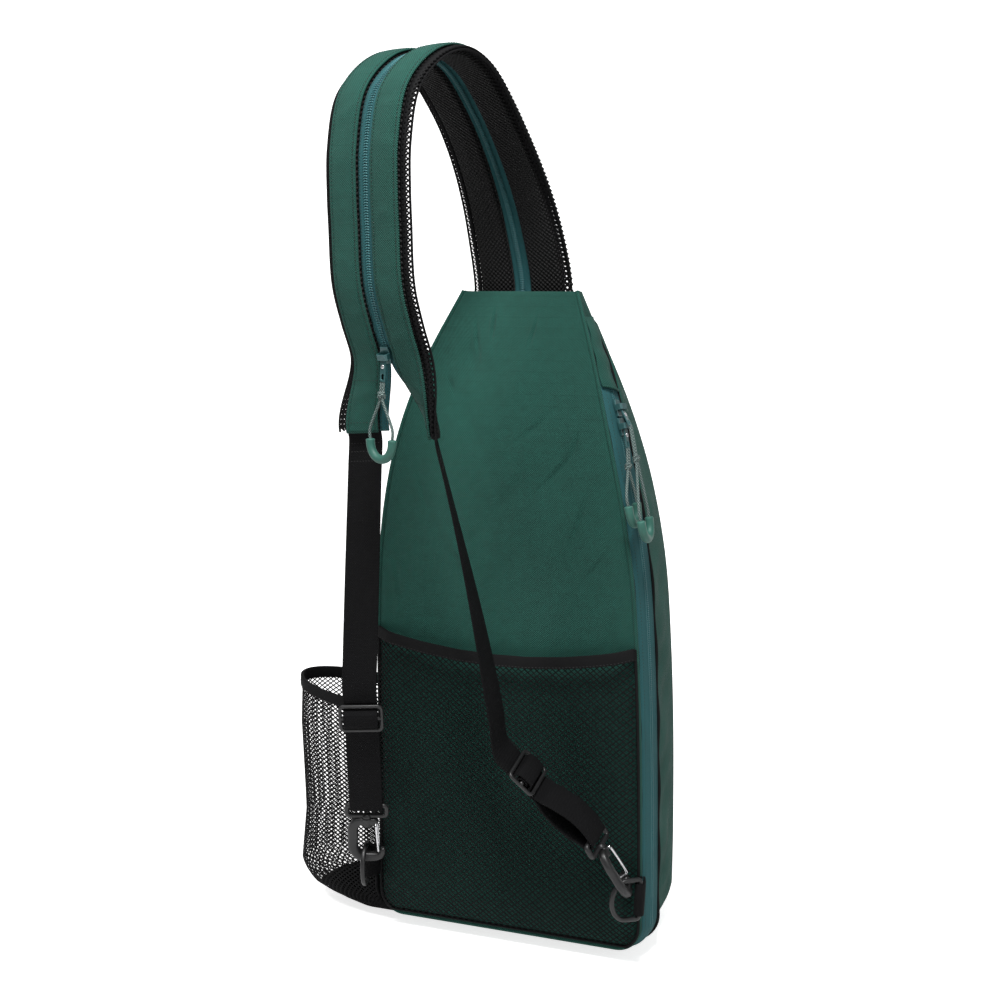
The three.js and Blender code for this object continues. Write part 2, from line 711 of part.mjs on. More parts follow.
function webbingFrames(rig, eye, barWay) {
  const start = halfFrame(1, rig.end);
  const root = start.centre.clone().addScaledVector(start.along, layerGap);
  root.addScaledVector(start.out, -strapThickness * 0.1);
  const first = root.clone().addScaledVector(start.along, 5);
  const down = eye.clone().sub(rig.glide).normalize();
  const turn = squared(down.clone().negate(), rig.across);
  const [across, out] = [vec(0, 0, 0), vec(0, 0, 0)];
  turn.extractBasis(across, out, vec(0, 0, 0));
  out.negate();
  const frames = [];
  const put = (place, wide) => frames.push({ place, wide });
  put(root, start.across);
  const top = rig.glide.clone().addScaledVector(down, -2.2 * (glideHeight / 2));
  const steps = 9;
  for (let i = 0; i < steps; i += 1) {
    const k = i / steps;
    const place = first.clone().lerp(top, k);
    place.x += rig.sag * Math.sin(Math.PI * k);
    place.y += rig.sag * 0.6 * Math.sin(Math.PI * k);
    put(place, start.across.clone().lerp(across, ease(k)).normalize());
  }
  const through = (row) => {
    const place = rig.glide.clone().addScaledVector(down, (row.down * glideHeight) / 2);
    put(place.addScaledVector(out, row.out * bandLevel), across);
  };
  glideWay.forEach(through);
  const run = eye.distanceTo(rig.glide);
  const bellySteps = 3;
  const belly = (k, side) => {
    const from = (1.35 * glideHeight) / 2;
    const far = mix(from, run, k);
    const level = mix(side > 0 ? -bandLevel : -1.95 * bandLevel, side * eyeWrap, ease(k));
    const swell = side * rig.spread * Math.sin(Math.PI * k);
    const place = rig.glide.clone().addScaledVector(down, far).addScaledVector(out, level + swell);
    put(place, across.clone().lerp(barWay, ease(k)));
  };
  for (let i = 1; i <= bellySteps; i += 1) belly(i / (bellySteps + 1), 1);
  const low = down.clone().addScaledVector(barWay, -down.dot(barWay)).normalize();
  const face = out.clone().addScaledVector(barWay, -out.dot(barWay)).normalize();
  const wrapSteps = 6;
  for (let i = 0; i <= wrapSteps; i += 1) {
    const angle = (Math.PI * i) / wrapSteps;
    const place = eye.clone().addScaledVector(face, eyeWrap * Math.cos(angle));
    put(place.addScaledVector(low, eyeWrap * Math.sin(angle)), barWay);
  }
  for (let i = bellySteps; i >= 1; i -= 1) belly(i / (bellySteps + 1), -1);
  returnWay.forEach(through);
  return frames.map((f, i) => {
    const before = frames[Math.max(0, i - 1)].place;
    const after = frames[Math.min(frames.length - 1, i + 1)].place;
    const along = after.clone().sub(before).normalize();
    const wide = f.wide.clone().addScaledVector(along, -f.wide.dot(along)).normalize();
    return { place: f.place, across: wide, out: along.clone().cross(wide) };
  });
}

// Swivel hook, in its own frame: the origin is the middle of its mouth, X runs from the spine
// to the mouth, Z up to the eye, and Y is across its flat
const hookLeft = -hookCavityWidth / 2;
const hookLow = -hookCavityHeight / 2;
const collarLow = hookCavityHeight / 2;
const gatePivot = { x: hookCavityWidth / 2 + 0.6, z: collarLow + 2.4 };
const gateFoot = { x: hookCavityWidth / 2 + 2.2, z: hookLow + 3.4 };
const lipLow = gateFoot.x + gateWire + swivelGap;
const lipWidth = 3.8;
const ringLift = 1.5;
const ringBack = 2.2;
const eyeBase = collarLow + collarHeight + swivelGap;
const eyeBaseWall = 3;
const eyeBarLevel = eyeBase + eyeBaseWall + eyeSlotHeight + eyeBar / 2;
const eyeWidth = webbingWidth + 9;

function hookBody() {
  const shape = new THREE.Shape();
  const outerLeft = hookLeft - hookSpine;
  const outerRight = lipLow + lipWidth;
  const bottom = hookLow - hookFoot;
  const r = 9;
  const inner = 3.6;
  shape.moveTo(gatePivot.x + 2.2, collarLow + collarHeight);
  shape.lineTo(outerLeft + 4, collarLow + collarHeight);
  shape.lineTo(outerLeft, collarLow - 2);
  shape.lineTo(outerLeft, bottom + r);
  shape.absarc(outerLeft + r, bottom + r, r, Math.PI, 1.5 * Math.PI, false);
  shape.absarc(outerRight - r, bottom + r, r, 1.5 * Math.PI, 2 * Math.PI, false);
  shape.lineTo(outerRight, hookLow + 4.5);
  shape.lineTo(lipLow, hookLow + 5.5);
  shape.lineTo(lipLow, hookLow + 2);
  shape.lineTo(lipLow - inner, hookLow);
  shape.lineTo(hookLeft + inner, hookLow);
  shape.lineTo(hookLeft, hookLow + inner);
  shape.lineTo(hookLeft, collarLow - inner);
  shape.lineTo(hookLeft + inner, collarLow);
  shape.lineTo(gatePivot.x + 2.2, collarLow);
  shape.closePath();
  const body = solidOf(plate(shape, hookThickness, 0.8).rotateX(Math.PI / 2));
  const bore = new THREE.CylinderGeometry(postRadius + swivelGap, postRadius + swivelGap, 40, 8);
  const post = solidOf(bore.rotateX(Math.PI / 2).translate(0, 0, collarLow + 20 - 0.5));
  const pin = new THREE.CylinderGeometry(gateWire + 0.5, gateWire + 0.5, 40, 6);
  const axle = solidOf(pin.translate(gatePivot.x, 0, gatePivot.z));
  return geometryOf(body.subtract(post).subtract(axle));
}

function hookEye() {
  const height = eyeBaseWall + eyeSlotHeight + eyeBar;
  const middle = eyeBase + height / 2;
  const outline = roundedBox(new THREE.Shape(), eyeWidth, height, 2.5, 0, middle);
  const slotMiddle = eyeBase + eyeBaseWall + eyeSlotHeight / 2;
  outline.holes.push(roundedBox(new THREE.Path(), webbingWidth + 1.6, eyeSlotHeight, 1, 0, slotMiddle));
  const loop = solidOf(plate(outline, eyeBar, 0.8, 1).rotateX(Math.PI / 2));
  const postLength = collarHeight + 2 * swivelGap + 2;
  const postMiddle = collarLow - swivelGap + postLength / 2;
  const post = new THREE.CylinderGeometry(postRadius * 0.95, postRadius * 0.95, postLength, 8);
  const head = new THREE.CylinderGeometry(postRadius + 1.2, postRadius + 0.4, 1.6, 8);
  const stem = solidOf(post.rotateX(Math.PI / 2).translate(0, 0, postMiddle));
  const rivet = solidOf(head.rotateX(Math.PI / 2).translate(0, 0, collarLow - swivelGap - 0.8));
  return geometryOf(loop.add(stem).add(rivet));
}

// The gate: one bent wire, its two ends meeting inside the hook's axle hole
function gate() {
  const side = hookThickness / 2 + gateWire + swivelGap;
  const bend = 1.4;
  const { x, z } = gatePivot;
  const foot = gateFoot;
  const lean = vec(foot.x - x, 0, foot.z - z).normalize().multiplyScalar(bend);
  const loop = [
    vec(x, swivelGap / 2, z),
    vec(x, side - bend, z),
    vec(x, side - bend * 0.3, z).addScaledVector(lean, 0.3),
    vec(x, side, z).add(lean),
    vec(foot.x, side, foot.z).sub(lean),
    vec(foot.x, side - bend * 0.3, foot.z).addScaledVector(lean, -0.3),
    vec(foot.x, side - bend, foot.z),
  ];
  const back = [...loop].reverse().map((p) => vec(p.x, -p.y, p.z));
  return tube([...loop, ...back], gateWire, 6, 22);
}

// D-ring: a flat moulded D. Its straight bar lies along Y with its middle at the origin, and
// the middle of its bowed wire is ringDepth away along X.
const ringSide = webbingWidth / 2 + seamGap + ringWire / 2;
const ringRound = ringSide * 0.8;
const ringPullAngle = 68;
function ringOutline(target, grow) {
  const side = ringSide + grow;
  const far = ringDepth + grow;
  const r = ringRound + grow;
  target.moveTo(-grow, -side);
  target.lineTo(far - r, -side);
  target.absellipse(far - r, 0, r, side, -Math.PI / 2, Math.PI / 2, false);
  target.lineTo(-grow, side);
  target.closePath();
  return target;
}

function dRing() {
  const outline = ringOutline(new THREE.Shape(), ringWire / 2);
  outline.holes.push(ringOutline(new THREE.Path(), -ringWire / 2));
  return plate(outline, ringWire, 1);
}

// The tab: webbing sewn into the corner seam, out round the ring's bar and back
function tabFrames(bar, seam, across) {
  const run = bar.clone().sub(seam);
  run.addScaledVector(across, -run.dot(across));
  const length = run.length();
  run.normalize();
  const out = run.clone().cross(across);
  const level = ringWire / 2 + layerGap + tabWall / 2;
  const start = bar.clone().addScaledVector(run, -length);
  const points = [
    start.clone().addScaledVector(out, tabWall * 0.6),
    bar.clone().addScaledVector(run, -level * 1.2).addScaledVector(out, level * 0.95),
  ];
  const steps = 6;
  for (let i = 0; i <= steps; i += 1) {
    const angle = (Math.PI * i) / steps;
    const p = bar.clone().addScaledVector(out, level * Math.cos(angle));
    points.push(p.addScaledVector(run, level * Math.sin(angle)));
  }
  points.push(bar.clone().addScaledVector(run, -level * 1.2).addScaledVector(out, -level * 0.95));
  points.push(start.clone().addScaledVector(out, -tabWall * 0.6));
  return points.map((place, i) => {
    const before = points[Math.max(0, i - 1)];
    const after = points[Math.min(points.length - 1, i + 1)];
    const along = after.clone().sub(before).normalize();
    return { place, across, out: along.clone().cross(across) };
  });
}

function rig(name, r) {
  const bow = r.bow.clone().normalize();
  const up = r.hang.clone().normalize();
  const hookTurn = squared(up, r.mouth);
  const mouth = vec(0, 0, 0);
  hookTurn.extractBasis(mouth, vec(0, 0, 0), vec(0, 0, 0));
  const wide = vec(0, 0, 1).addScaledVector(bow, -bow.z).normalize();
  const angle = ringPullAngle * degrees;
  const pull = r.bar.clone().addScaledVector(bow, ringDepth - ringRound * (1 - Math.cos(angle)));
  pull.addScaledVector(wide, ringSide * Math.sin(angle));
  const centre = pull.clone().addScaledVector(up, -hookLow - ringWire / 2 - ringLift);
  centre.addScaledVector(mouth, ringBack);
  const eye = centre.clone().addScaledVector(up, eyeBarLevel);
  const eyeTurn = squared(up, r.across);
  const barWay = vec(0, 0, 0);
  eyeTurn.extractBasis(barWay, vec(0, 0, 0), vec(0, 0, 0));
  const frames = webbingFrames(r, eye, barWay);
  add(`webbing_${name}`, carried(frames, flatSection(webbingWidth, webbingWall)), blackWeb);
  const glideTurn = squared(r.glide.clone().sub(eye), r.across);
  add(`triglide_${name}`, placed(glidePlate(), glideTurn, r.glide), blackPlastic);
  add(`hook_body_${name}`, placed(hookBody(), hookTurn, centre), blackPlastic);
  add(`hook_eye_${name}`, placed(hookEye(), eyeTurn, centre), blackPlastic);
  add(`gate_${name}`, placed(gate(), hookTurn, centre), brightWire);
  const turn = new THREE.Matrix4().makeBasis(bow, wide, bow.clone().cross(wide));
  add(`dring_${name}`, placed(dRing(), turn, r.bar), blackPlastic);
  const tab = tabFrames(r.bar, r.bar.clone().add(r.seam), wide);
  add(`dring_tab_${name}`, carried(tab, flatSection(webbingWidth - 1, tabWall)), blackWeb);
}
for (const [name, r] of Object.entries(rigs)) rig(name, r);

// Back pocket: a flat net over the lower half of the back panel, standing off it in the
// middle, with a binding along its sagging top edge
const pocketTopAt = (share) => backPocketHeight - backPocketSag * (1 - share * share);
const pocketRows = [0.012, 0.05, 0.12, 0.3, 0.55, 0.8, 1];
const pocketColumns = 10;

function standOff(share, level) {
  const side = Math.min(1, (1 - Math.abs(share)) / 0.16);
  const low = Math.min(1, level / 0.12);
  return seamGap + backPocketGap * Math.sin((Math.PI / 2) * side) * mix(0.15, 1, low);
}

function pocketPoint(share, z, level, lift) {
  const reach = halfWidthAt(z) - seamGap;
  const y = backAt(z) + Math.min(0, foldAt(share, z)) - standOff(share, level) - netWall - lift;
  return vec(share * reach, y, z);
}

function backPocket() {
  const grid = pocketRows.map((level) => {
    const row = [];
    for (let c = 0; c <= pocketColumns; c += 1) {
      const share = mix(-1, 1, c / pocketColumns);
      row.push(pocketPoint(share, level * (pocketTopAt(share) - hemHeight - seamGap), level, 0));
    }
    return row;
  });
  add('back_pocket_net', wallBetween(grid, inwards(grid, netWall)), blackNet);
  const hem = [0, 1].map((k) => {
    const row = [];
    for (let c = 0; c <= pocketColumns; c += 1) {
      const share = mix(-1, 1, c / pocketColumns);
      row.push(pocketPoint(share, pocketTopAt(share) - hemHeight * (1 - k), 1, hemWall - netWall));
    }
    return row;
  });
  add('back_pocket_hem', wallBetween(hem, inwards(hem, hemWall)), blackWeb);
}

// Bottle pocket: a net cup sewn on the left side wall, open at the top and gathered under.
// Rows give its reach from the side wall at a share of its height.
const cupProfile = [
  { height: 0.005, reach: 0.02 },
  { height: 0.005, reach: 0.55 },
  { height: 0.025, reach: 0.80 },
  { height: 0.070, reach: 0.93 },
  { height: 0.160, reach: 1.00 },
  { height: 0.400, reach: 0.955 },
  { height: 0.620, reach: 0.980 },
  { height: 0.820, reach: 1.00 },
  { height: 1.000, reach: 0.985 },
];
const cupColumns = 12;
const cupStart = backPanelWall + seamGap + netWall;

function cupPoint(u, z, reach, grow) {
  const y = cupStart + (bottlePocketDepth * (1 - Math.cos(Math.PI * u))) / 2;
  const out = Math.sin(Math.PI * u) ** 0.72;
  const root = halfWidthAt(Math.max(0, z)) + bulgeAt(Math.max(0, z), y) + 2.5 * seamGap + netWall + grow;
  const depth = (y - cupStart - bottlePocketDepth / 2) * (grow / bottlePocketDepth) * 2;
  return vec(-root - (bottlePocketReach + grow) * reach * out, y + depth, z);
}
const rimAt = (u) => bottlePocketHeight - rimDip * (1 - Math.sin(Math.PI * u));

function cupGrid(rows, grow) {
  return rows.map((row) => {
    const line = [];
    for (let c = 0; c <= cupColumns; c += 1) {
      const u = c / cupColumns;
      const hang = bottlePocketDrop * Math.sin(Math.PI * u) * (1 - row.height) ** 2;
      const z = row.height * (rimAt(u) - hemHeight - seamGap) + (row.rise || 0) - hang;
      line.push(cupPoint(u, z, row.reach, grow));
    }
    return line;
  });
}

function bottlePocket() {
  const grid = cupGrid(cupProfile, 0);
  add('bottle_pocket_net', wallOf(grid, netWall), blackNet);
  const reach = cupProfile[cupProfile.length - 1].reach;
  const rim = [{ height: 1, rise: seamGap, reach }, { height: 1, rise: hemHeight, reach }];
  const hem = cupGrid(rim, (hemWall - netWall) / 2);
  add('bottle_pocket_hem', wallOf(hem, hemWall), blackWeb);
}
backPocket();
bottlePocket();

// Zip hardware. A slider is a tapered plate with a crown over its middle; its tab reaches out
// of the crown, and a cord through a bent grip hangs from the tab.
const crownWall = 1.2;
const crownRoom = 3.3;
const crownLength = 4;
const tabLength = 17;
const tabWidth = 5;
const tabPlate = 1.2;
const gripDepth = 17;
const knotRadius = 3;
const cordSides = 8;

function slider() {
  const shape = new THREE.Shape();
  const [w, l] = [sliderWidth / 2, sliderLength / 2];
  shape.moveTo(-w * 0.7, -l);
  shape.lineTo(w * 0.7, -l);
  shape.lineTo(w, l * 0.5);
  shape.lineTo(w * 0.8, l);
  shape.lineTo(-w * 0.8, l);
  shape.lineTo(-w, l * 0.5);
  shape.closePath();
  const base = solidOf(plate(shape, sliderWall, 0.4).translate(0, 0, sliderWall / 2));
  const arch = new THREE.Shape();
  const inner = tabWidth / 2 + 2.5 * seamGap;
  const outer = inner + crownWall;
  const foot = -sliderWall * 0.5;
  arch.moveTo(-outer, foot);
  arch.lineTo(-inner, foot);
  arch.lineTo(-inner, crownRoom);
  arch.lineTo(inner, crownRoom);
  arch.lineTo(inner, foot);
  arch.lineTo(outer, foot);
  arch.lineTo(outer, crownRoom);
  arch.lineTo(inner, crownRoom + crownWall);
  arch.lineTo(-inner, crownRoom + crownWall);
  arch.lineTo(-outer, crownRoom);
  arch.closePath();
  const bridge = new THREE.ExtrudeGeometry(arch, { depth: crownLength, bevelEnabled: false });
  const crown = solidOf(bridge.rotateX(Math.PI / 2).translate(0, crownLength / 2, sliderWall));
  return geometryOf(base.add(crown));
}

// The tab lies along -Y from the crown, with a hole for the cord at its far end
function pullTab() {
  const outline = roundedBox(new THREE.Shape(), tabWidth, tabLength, 1.5, 0, -tabLength / 2);
  const hole = roundedBox(new THREE.Path(), tabWidth - 2.4, 4, 1, 0, -tabLength + 3.4);
  outline.holes.push(hole);
  return plate(outline, tabPlate, 0.3, 2);
}

// Pulls. Each row: how far down the zip's line its parts hang and how far they stand off it
const pulls = {
  side_upper: { drop: 76, lift: 11, aside: -16, knot: 36, tabLift: 10, tabAside: -4 },
  side_lower: { drop: 52, lift: 4, aside: -18, knot: 27, tabLift: 4, tabAside: -5 },
  strap: { drop: 54, lift: 7, aside: 0, knot: 25, tabLift: 5, tabAside: 0 },
};
const sideZipPull = 400;

function hangPull(name, seat, turn, at) {
  const pull = pulls[name];
  add(`slider_${name}`, placed(slider(), turn, seat), paintedMetal);
  const tabStart = at(0, sliderWall + crownRoom / 2, 0);
  const tabEnd = at(tabLength, pull.tabLift, pull.tabAside);
  const up = tabStart.clone().sub(tabEnd).normalize();
  const out = vec(0, 0, 0);
  turn.extractBasis(vec(0, 0, 0), vec(0, 0, 0), out);
  const face = out.addScaledVector(up, -out.dot(up)).normalize();
  const tabTurn = new THREE.Matrix4().makeBasis(up.clone().cross(face), up, face);
  add(`pull_tab_${name}`, placed(pullTab(), tabTurn, tabStart), paintedMetal);
  const low = tabStart.clone().addScaledVector(up, -tabLength - layerGap);
  const knot = at(pull.knot, (pull.lift + pull.tabLift) / 2, (pull.aside + pull.tabAside) / 2);
  const grip = [];
  const gripSteps = 8;
  for (let i = 0; i <= gripSteps; i += 1) {
    const angle = (Math.PI * i) / gripSteps;
    const aside = pull.aside - (gripWidth / 2 - gripRadius) * Math.cos(angle);
    grip.push(at(pull.drop + (gripDepth - gripRadius) * Math.sin(angle) ** 0.8, pull.lift, aside));
  }
  const ends = [grip[0], grip[gripSteps]];
  const strands = ends.map((end, i) => {
    const away = end.clone().sub(grip[i ? gripSteps - 1 : 1]).normalize();
    const top = low.clone().addScaledVector(up.clone().cross(face), (i ? 1 : -1) * 0.6);
    const last = end.clone().addScaledVector(away, layerGap);
    const lead = end.clone().addScaledVector(away, 6);
    return solidOf(tube([top, knot, lead, last], pullCordRadius, cordSides, 6));
  });
  const ball = new THREE.SphereGeometry(knotRadius, 7, 4).scale(1, 0.8, 1.2);
  const bead = solidOf(ball.translate(knot.x, knot.y, knot.z));
  add(`pull_cord_${name}`, geometryOf(strands[0].add(strands[1]).add(bead)), tape);
  add(`pull_grip_${name}`, tube(grip, gripRadius, 8, 10), greenPlastic);
}

function sidePull(name, z) {
  const frame = zipFrameAt(z);
  const turn = new THREE.Matrix4().makeBasis(frame.across, frame.along, frame.out);
  const seat = frame.place.clone().addScaledVector(frame.out, layerGap);
  const at = (drop, lift, aside) => {
    const here = zipFrameAt(z - drop);
    return here.place.clone().addScaledVector(here.out, lift + layerGap).add(vec(0, aside, 0));
  };
  hangPull(name, seat, turn, at);
}

function strapPull() {
  const frame = strapFrame(strapSlitShare);
  const level = tapeLevel + zipTapeWall + 2.2 * layerGap - strapThickness / 2;
  const seat = frame.place.clone().addScaledVector(frame.out, level);
  const turn = new THREE.Matrix4().makeBasis(frame.across, frame.along.clone().negate(), frame.out);
  const at = (drop, lift, aside) => {
    const p = seat.clone().addScaledVector(frame.out, lift).addScaledVector(frame.across, aside);
    return p.add(vec(0, 0, -drop));
  };
  hangPull('strap', seat, turn, at);
}
sidePull('side_upper', sideZipPull);
sidePull('side_lower', sideZipPull - sliderLength - 1);
strapPull();

// The strap's highest underside point becomes the origin
function shoulderRest() {
  let top = strapFrame(0);
  const steps = 200;
  for (let i = 1; i < steps; i += 1) {
    const frame = strapFrame(i / steps);
    if (frame.place.z > top.place.z) top = frame;
  }
  const under = coilTop - zipCoilHeight - strapThickness / 2;
  return top.place.clone().addScaledVector(top.out, under);
}
bag.position.copy(shoulderRest().negate());

export default bag;
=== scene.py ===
"""Pickleball sling bag: green woven body, split padded strap, mesh pockets, clip-on webbings."""
import math

import bmesh
import bpy
import numpy as np
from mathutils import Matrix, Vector


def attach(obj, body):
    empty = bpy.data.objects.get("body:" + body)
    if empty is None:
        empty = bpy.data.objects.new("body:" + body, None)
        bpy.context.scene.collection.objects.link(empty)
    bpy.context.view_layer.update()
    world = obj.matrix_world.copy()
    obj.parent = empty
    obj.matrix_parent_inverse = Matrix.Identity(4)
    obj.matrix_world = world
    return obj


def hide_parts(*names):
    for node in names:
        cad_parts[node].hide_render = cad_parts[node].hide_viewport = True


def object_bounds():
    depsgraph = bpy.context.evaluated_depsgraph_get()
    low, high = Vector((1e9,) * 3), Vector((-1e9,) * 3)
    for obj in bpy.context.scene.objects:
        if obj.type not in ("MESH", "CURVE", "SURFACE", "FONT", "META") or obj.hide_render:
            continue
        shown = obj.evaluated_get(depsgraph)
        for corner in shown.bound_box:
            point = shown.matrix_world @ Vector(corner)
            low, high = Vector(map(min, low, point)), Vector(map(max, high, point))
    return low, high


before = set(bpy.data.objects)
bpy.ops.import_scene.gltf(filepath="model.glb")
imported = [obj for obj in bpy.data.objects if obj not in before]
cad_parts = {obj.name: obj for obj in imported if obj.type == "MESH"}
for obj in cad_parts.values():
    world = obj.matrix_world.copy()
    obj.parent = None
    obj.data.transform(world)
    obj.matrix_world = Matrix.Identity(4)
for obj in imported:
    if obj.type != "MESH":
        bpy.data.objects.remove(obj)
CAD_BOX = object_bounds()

bl_info = {
    "name": "Sling bag",
    "version": (1, 0, 0),
    "blender": (4, 5, 0),
    "location": "View3D > Sidebar > Sling bag",
    "description": "Builds the cloth, mesh, webbing and hardware of a sling bag round its CAD frame",
    "category": "Add Mesh",
}

BAG = "bag"


# Sizes and colours


def length(name, millimetres, description):
    """A length property, given in millimetres and kept in metres."""
    return bpy.props.FloatProperty(
        name=name, description=description, default=millimetres / 1000, min=0, unit="LENGTH", precision=5
    )


def tint(name, colour, description):
    """A colour property in linear shares of red, green and blue."""
    return bpy.props.FloatVectorProperty(
        name=name, description=description, default=colour, size=3, min=0, max=1, subtype="COLOR"
    )


class BodySizes(bpy.types.PropertyGroup):
    width: length("Width", 209, "Width of the back panel")
    height: length("Height", 482, "Height of the bag")
    depth: length("Depth", 110, "Depth of the bag at its bottom")
    corner: length("Corner", 18, "Radius of the bottom corners")
    front_edge: length("Front edge", 13, "Radius of the roll into the front panel")
    back_wall: length("Back wall", 3, "Thickness of the back panel")
    cloth_wall: length("Cloth wall", 2, "Thickness of the gusset and the front panel")
    seam_gap: length("Seam gap", 0.4, "Room between sewn pieces")
    dome: length("Dome", 8, "How far the front panel domes")
    bulge: length("Bulge", 6, "How far the side walls swell")
    fold_depth: length("Fold depth", 3.2, "Depth of the fine creases")
    zip_tape: length("Zip tape", 12.5, "Width of one zip tape")
    zip_drop: length("Zip drop", 20, "From the bag's top to the zip's top")


class StrapSizes(bpy.types.PropertyGroup):
    width: length("Width", 76, "Width of the padded strap")
    thickness: length("Thickness", 8, "Thickness of the padded strap")
    reach: length("Reach", 162, "How far the strap loops towards the wearer")
    rise: length("Rise", 158.5, "How high the strap loops over the bag")
    border: length("Border", 6.5, "Width of the mesh edge")
    face_wall: length("Face", 1.4, "Thickness of the cloth face")
    stitch: length("Stitch", 2.6, "Length of one stitch")
    slit: bpy.props.FloatProperty(name="Slit", description="Share of the strap that is zipped", default=0.888)
    lean: bpy.props.FloatProperty(
        name="Lean", description="How far the loop leans aside", default=math.radians(19), subtype="ANGLE"
    )


class NetSizes(bpy.types.PropertyGroup):
    hole_width: length("Hole width", 4.8, "Width of one cell of the net")
    hole_height: length("Hole height", 4.1, "Height of one cell of the net")
    wall: length("Thread", 0.55, "Thickness of the net")
    open_share: bpy.props.FloatProperty(
        name="Opening", description="Hole as a share of its cell", default=0.62, min=0.2, max=0.9
    )
    back_height: length("Back pocket", 231, "Height of the back pocket")
    back_sag: length("Sag", 12.5, "Sag of the back pocket's top edge")
    back_gap: length("Gap", 6.5, "How far the back pocket stands off")
    hem: length("Hem", 9, "Width of the binding on the nets")
    hem_wall: length("Hem wall", 2.4, "Thickness of the binding")
    cup_height: length("Bottle pocket", 176, "Height of the bottle pocket")
    cup_reach: length("Bottle pocket reach", 80, "How far the bottle pocket stands out")
    cup_depth: length("Bottle pocket depth", 74, "Depth of the bottle pocket")
    cup_drop: length("Drop", 9, "How far the bottle pocket hangs under the bag")
    rim_dip: length("Rim dip", 11, "How far the rim dips at the sides")


class RigSizes(bpy.types.PropertyGroup):
    webbing: length("Webbing", 25, "Width of the webbings")
    webbing_wall: length("Webbing wall", 1.4, "Thickness of the webbings")
    hook_wall: length("Hook", 6, "Thickness of the hook's body")
    gate_wire: length("Gate wire", 0.9, "Radius of the gate's wire")
    ring_wire: length("Ring wire", 3.6, "Thickness of the D-ring")
    ring_depth: length("Ring depth", 22, "From the D-ring's bar to its bow")
    glide_height: length("Tri-glide", 24, "Height of the tri-glide")
    glide_wall: length("Tri-glide wall", 2.2, "Thickness of the tri-glide")


class PullSizes(bpy.types.PropertyGroup):
    slider: length("Slider", 12, "Length of a zip slider")
    tab: length("Tab", 17, "Length of a pull tab")
    cord: length("Cord", 2, "Diameter of a pull cord")
    grip: length("Grip", 27, "Width of the bent grip")
    grip_radius: length("Grip radius", 3.2, "Radius of the grip's tube")


class Colours(bpy.types.PropertyGroup):
    cloth: tint("Cloth", (0.013, 0.070, 0.054), "Green of the woven panels")
    tape: tint("Tape", (0.018, 0.088, 0.095), "Teal of the zip tapes")
    net: tint("Net", (0.0045, 0.0045, 0.005), "Black of the nets")
    web: tint("Webbing", (0.005, 0.005, 0.0055), "Black of the webbings and bindings")
    plastic: tint("Plastic", (0.008, 0.008, 0.0085), "Black of the hooks and rings")
    metal: tint("Metal", (0.024, 0.085, 0.088), "Teal enamel of the sliders")
    wire: tint("Wire", (0.72, 0.72, 0.74), "Bright steel of the gates")
    cord: tint("Cord", (0.045, 0.090, 0.082), "Darker thread of the pull cords")
    fleck: tint("Fleck", (0.21, 0.26, 0.25), "Paler thread of the pull cords")
    grip: tint("Grip", (0.018, 0.098, 0.074), "Green of the moulded grips")
    floor: tint("Floor", (0.86, 0.86, 0.86), "Pale floor and backdrop")


def sizes(kind):
    """The settings of one group, with its lengths turned to millimetres."""
    group = getattr(bpy.context.scene, "sling_bag_" + kind)
    out = {}
    for key, prop in group.bl_rna.properties.items():
        if key in ("rna_type", "name"):
            continue
        value = getattr(group, key)
        out[key] = value * 1000 if getattr(prop, "unit", "") == "LENGTH" else value
    return type("Sizes", (), out)


# Numbers shared with the solids, in millimetres or in shares of named sizes

LAYER_GAP = 0.4
NET_WALL = 1.2
ZIP_WALL = 1.2
COIL = (3.8, 2.2)
TAB_WALL = 1.6
BAG_PROFILE = np.array([
    # height, half width, back, front
    (0.00, 1.000, 0.000, 0.965),
    (0.12, 0.998, 0.000, 0.990),
    (0.30, 0.990, -0.020, 0.975),
    (0.45, 0.972, -0.050, 0.930),
    (0.58, 0.938, -0.085, 0.875),
    (0.70, 0.857, -0.110, 0.800),
    (0.80, 0.750, -0.085, 0.700),
    (0.90, 0.606, 0.040, 0.560),
    (1.00, 0.419, 0.235, 0.410),
])
# across, height, long, broad, deep, angle: folds of the back panel as the solids have them
BACK_FOLDS = [
    (0.30, 0.72, 0.34, 0.060, 0.022, 40),
    (0.52, 0.60, 0.26, 0.045, 0.018, 55),
    (-0.45, 0.90, 0.16, 0.040, 0.022, -35),
    (-0.30, 0.62, 0.30, 0.080, -0.015, -60),
    (0.10, 0.86, 0.22, 0.070, -0.018, 70),
]
# across, height, long, broad, deep (shares of the fold depth), angle: fine creases
BACK_CREASES = [
    (0.62, 0.66, 0.16, 0.010, 1.0, 62),
    (0.74, 0.60, 0.13, 0.008, 0.8, 48),
    (0.50, 0.74, 0.20, 0.011, 0.9, 38),
    (0.30, 0.80, 0.17, 0.010, 0.7, 30),
    (0.68, 0.78, 0.10, 0.008, 0.9, 55),
    (-0.62, 0.86, 0.10, 0.009, 0.9, -40),
    (-0.48, 0.93, 0.12, 0.010, 1.0, -52),
    (-0.30, 0.95, 0.09, 0.009, 0.8, -70),
    (0.28, 0.94, 0.09, 0.009, 0.7, 62),
    (-0.70, 0.70, 0.14, 0.010, 0.5, -68),
    (0.05, 0.70, 0.30, 0.020, 0.45, 48),
    (-0.35, 0.60, 0.26, 0.018, -0.5, -58),
    (0.80, 0.50, 0.16, 0.009, 0.5, 75),
    (-0.85, 0.55, 0.16, 0.010, 0.5, -80),
    (0.55, 0.74, 0.30, 0.045, 1.3, 48),
    (-0.35, 0.80, 0.22, 0.040, 1.0, -48),
    (0.00, 0.64, 0.40, 0.050, -0.9, 60),
]
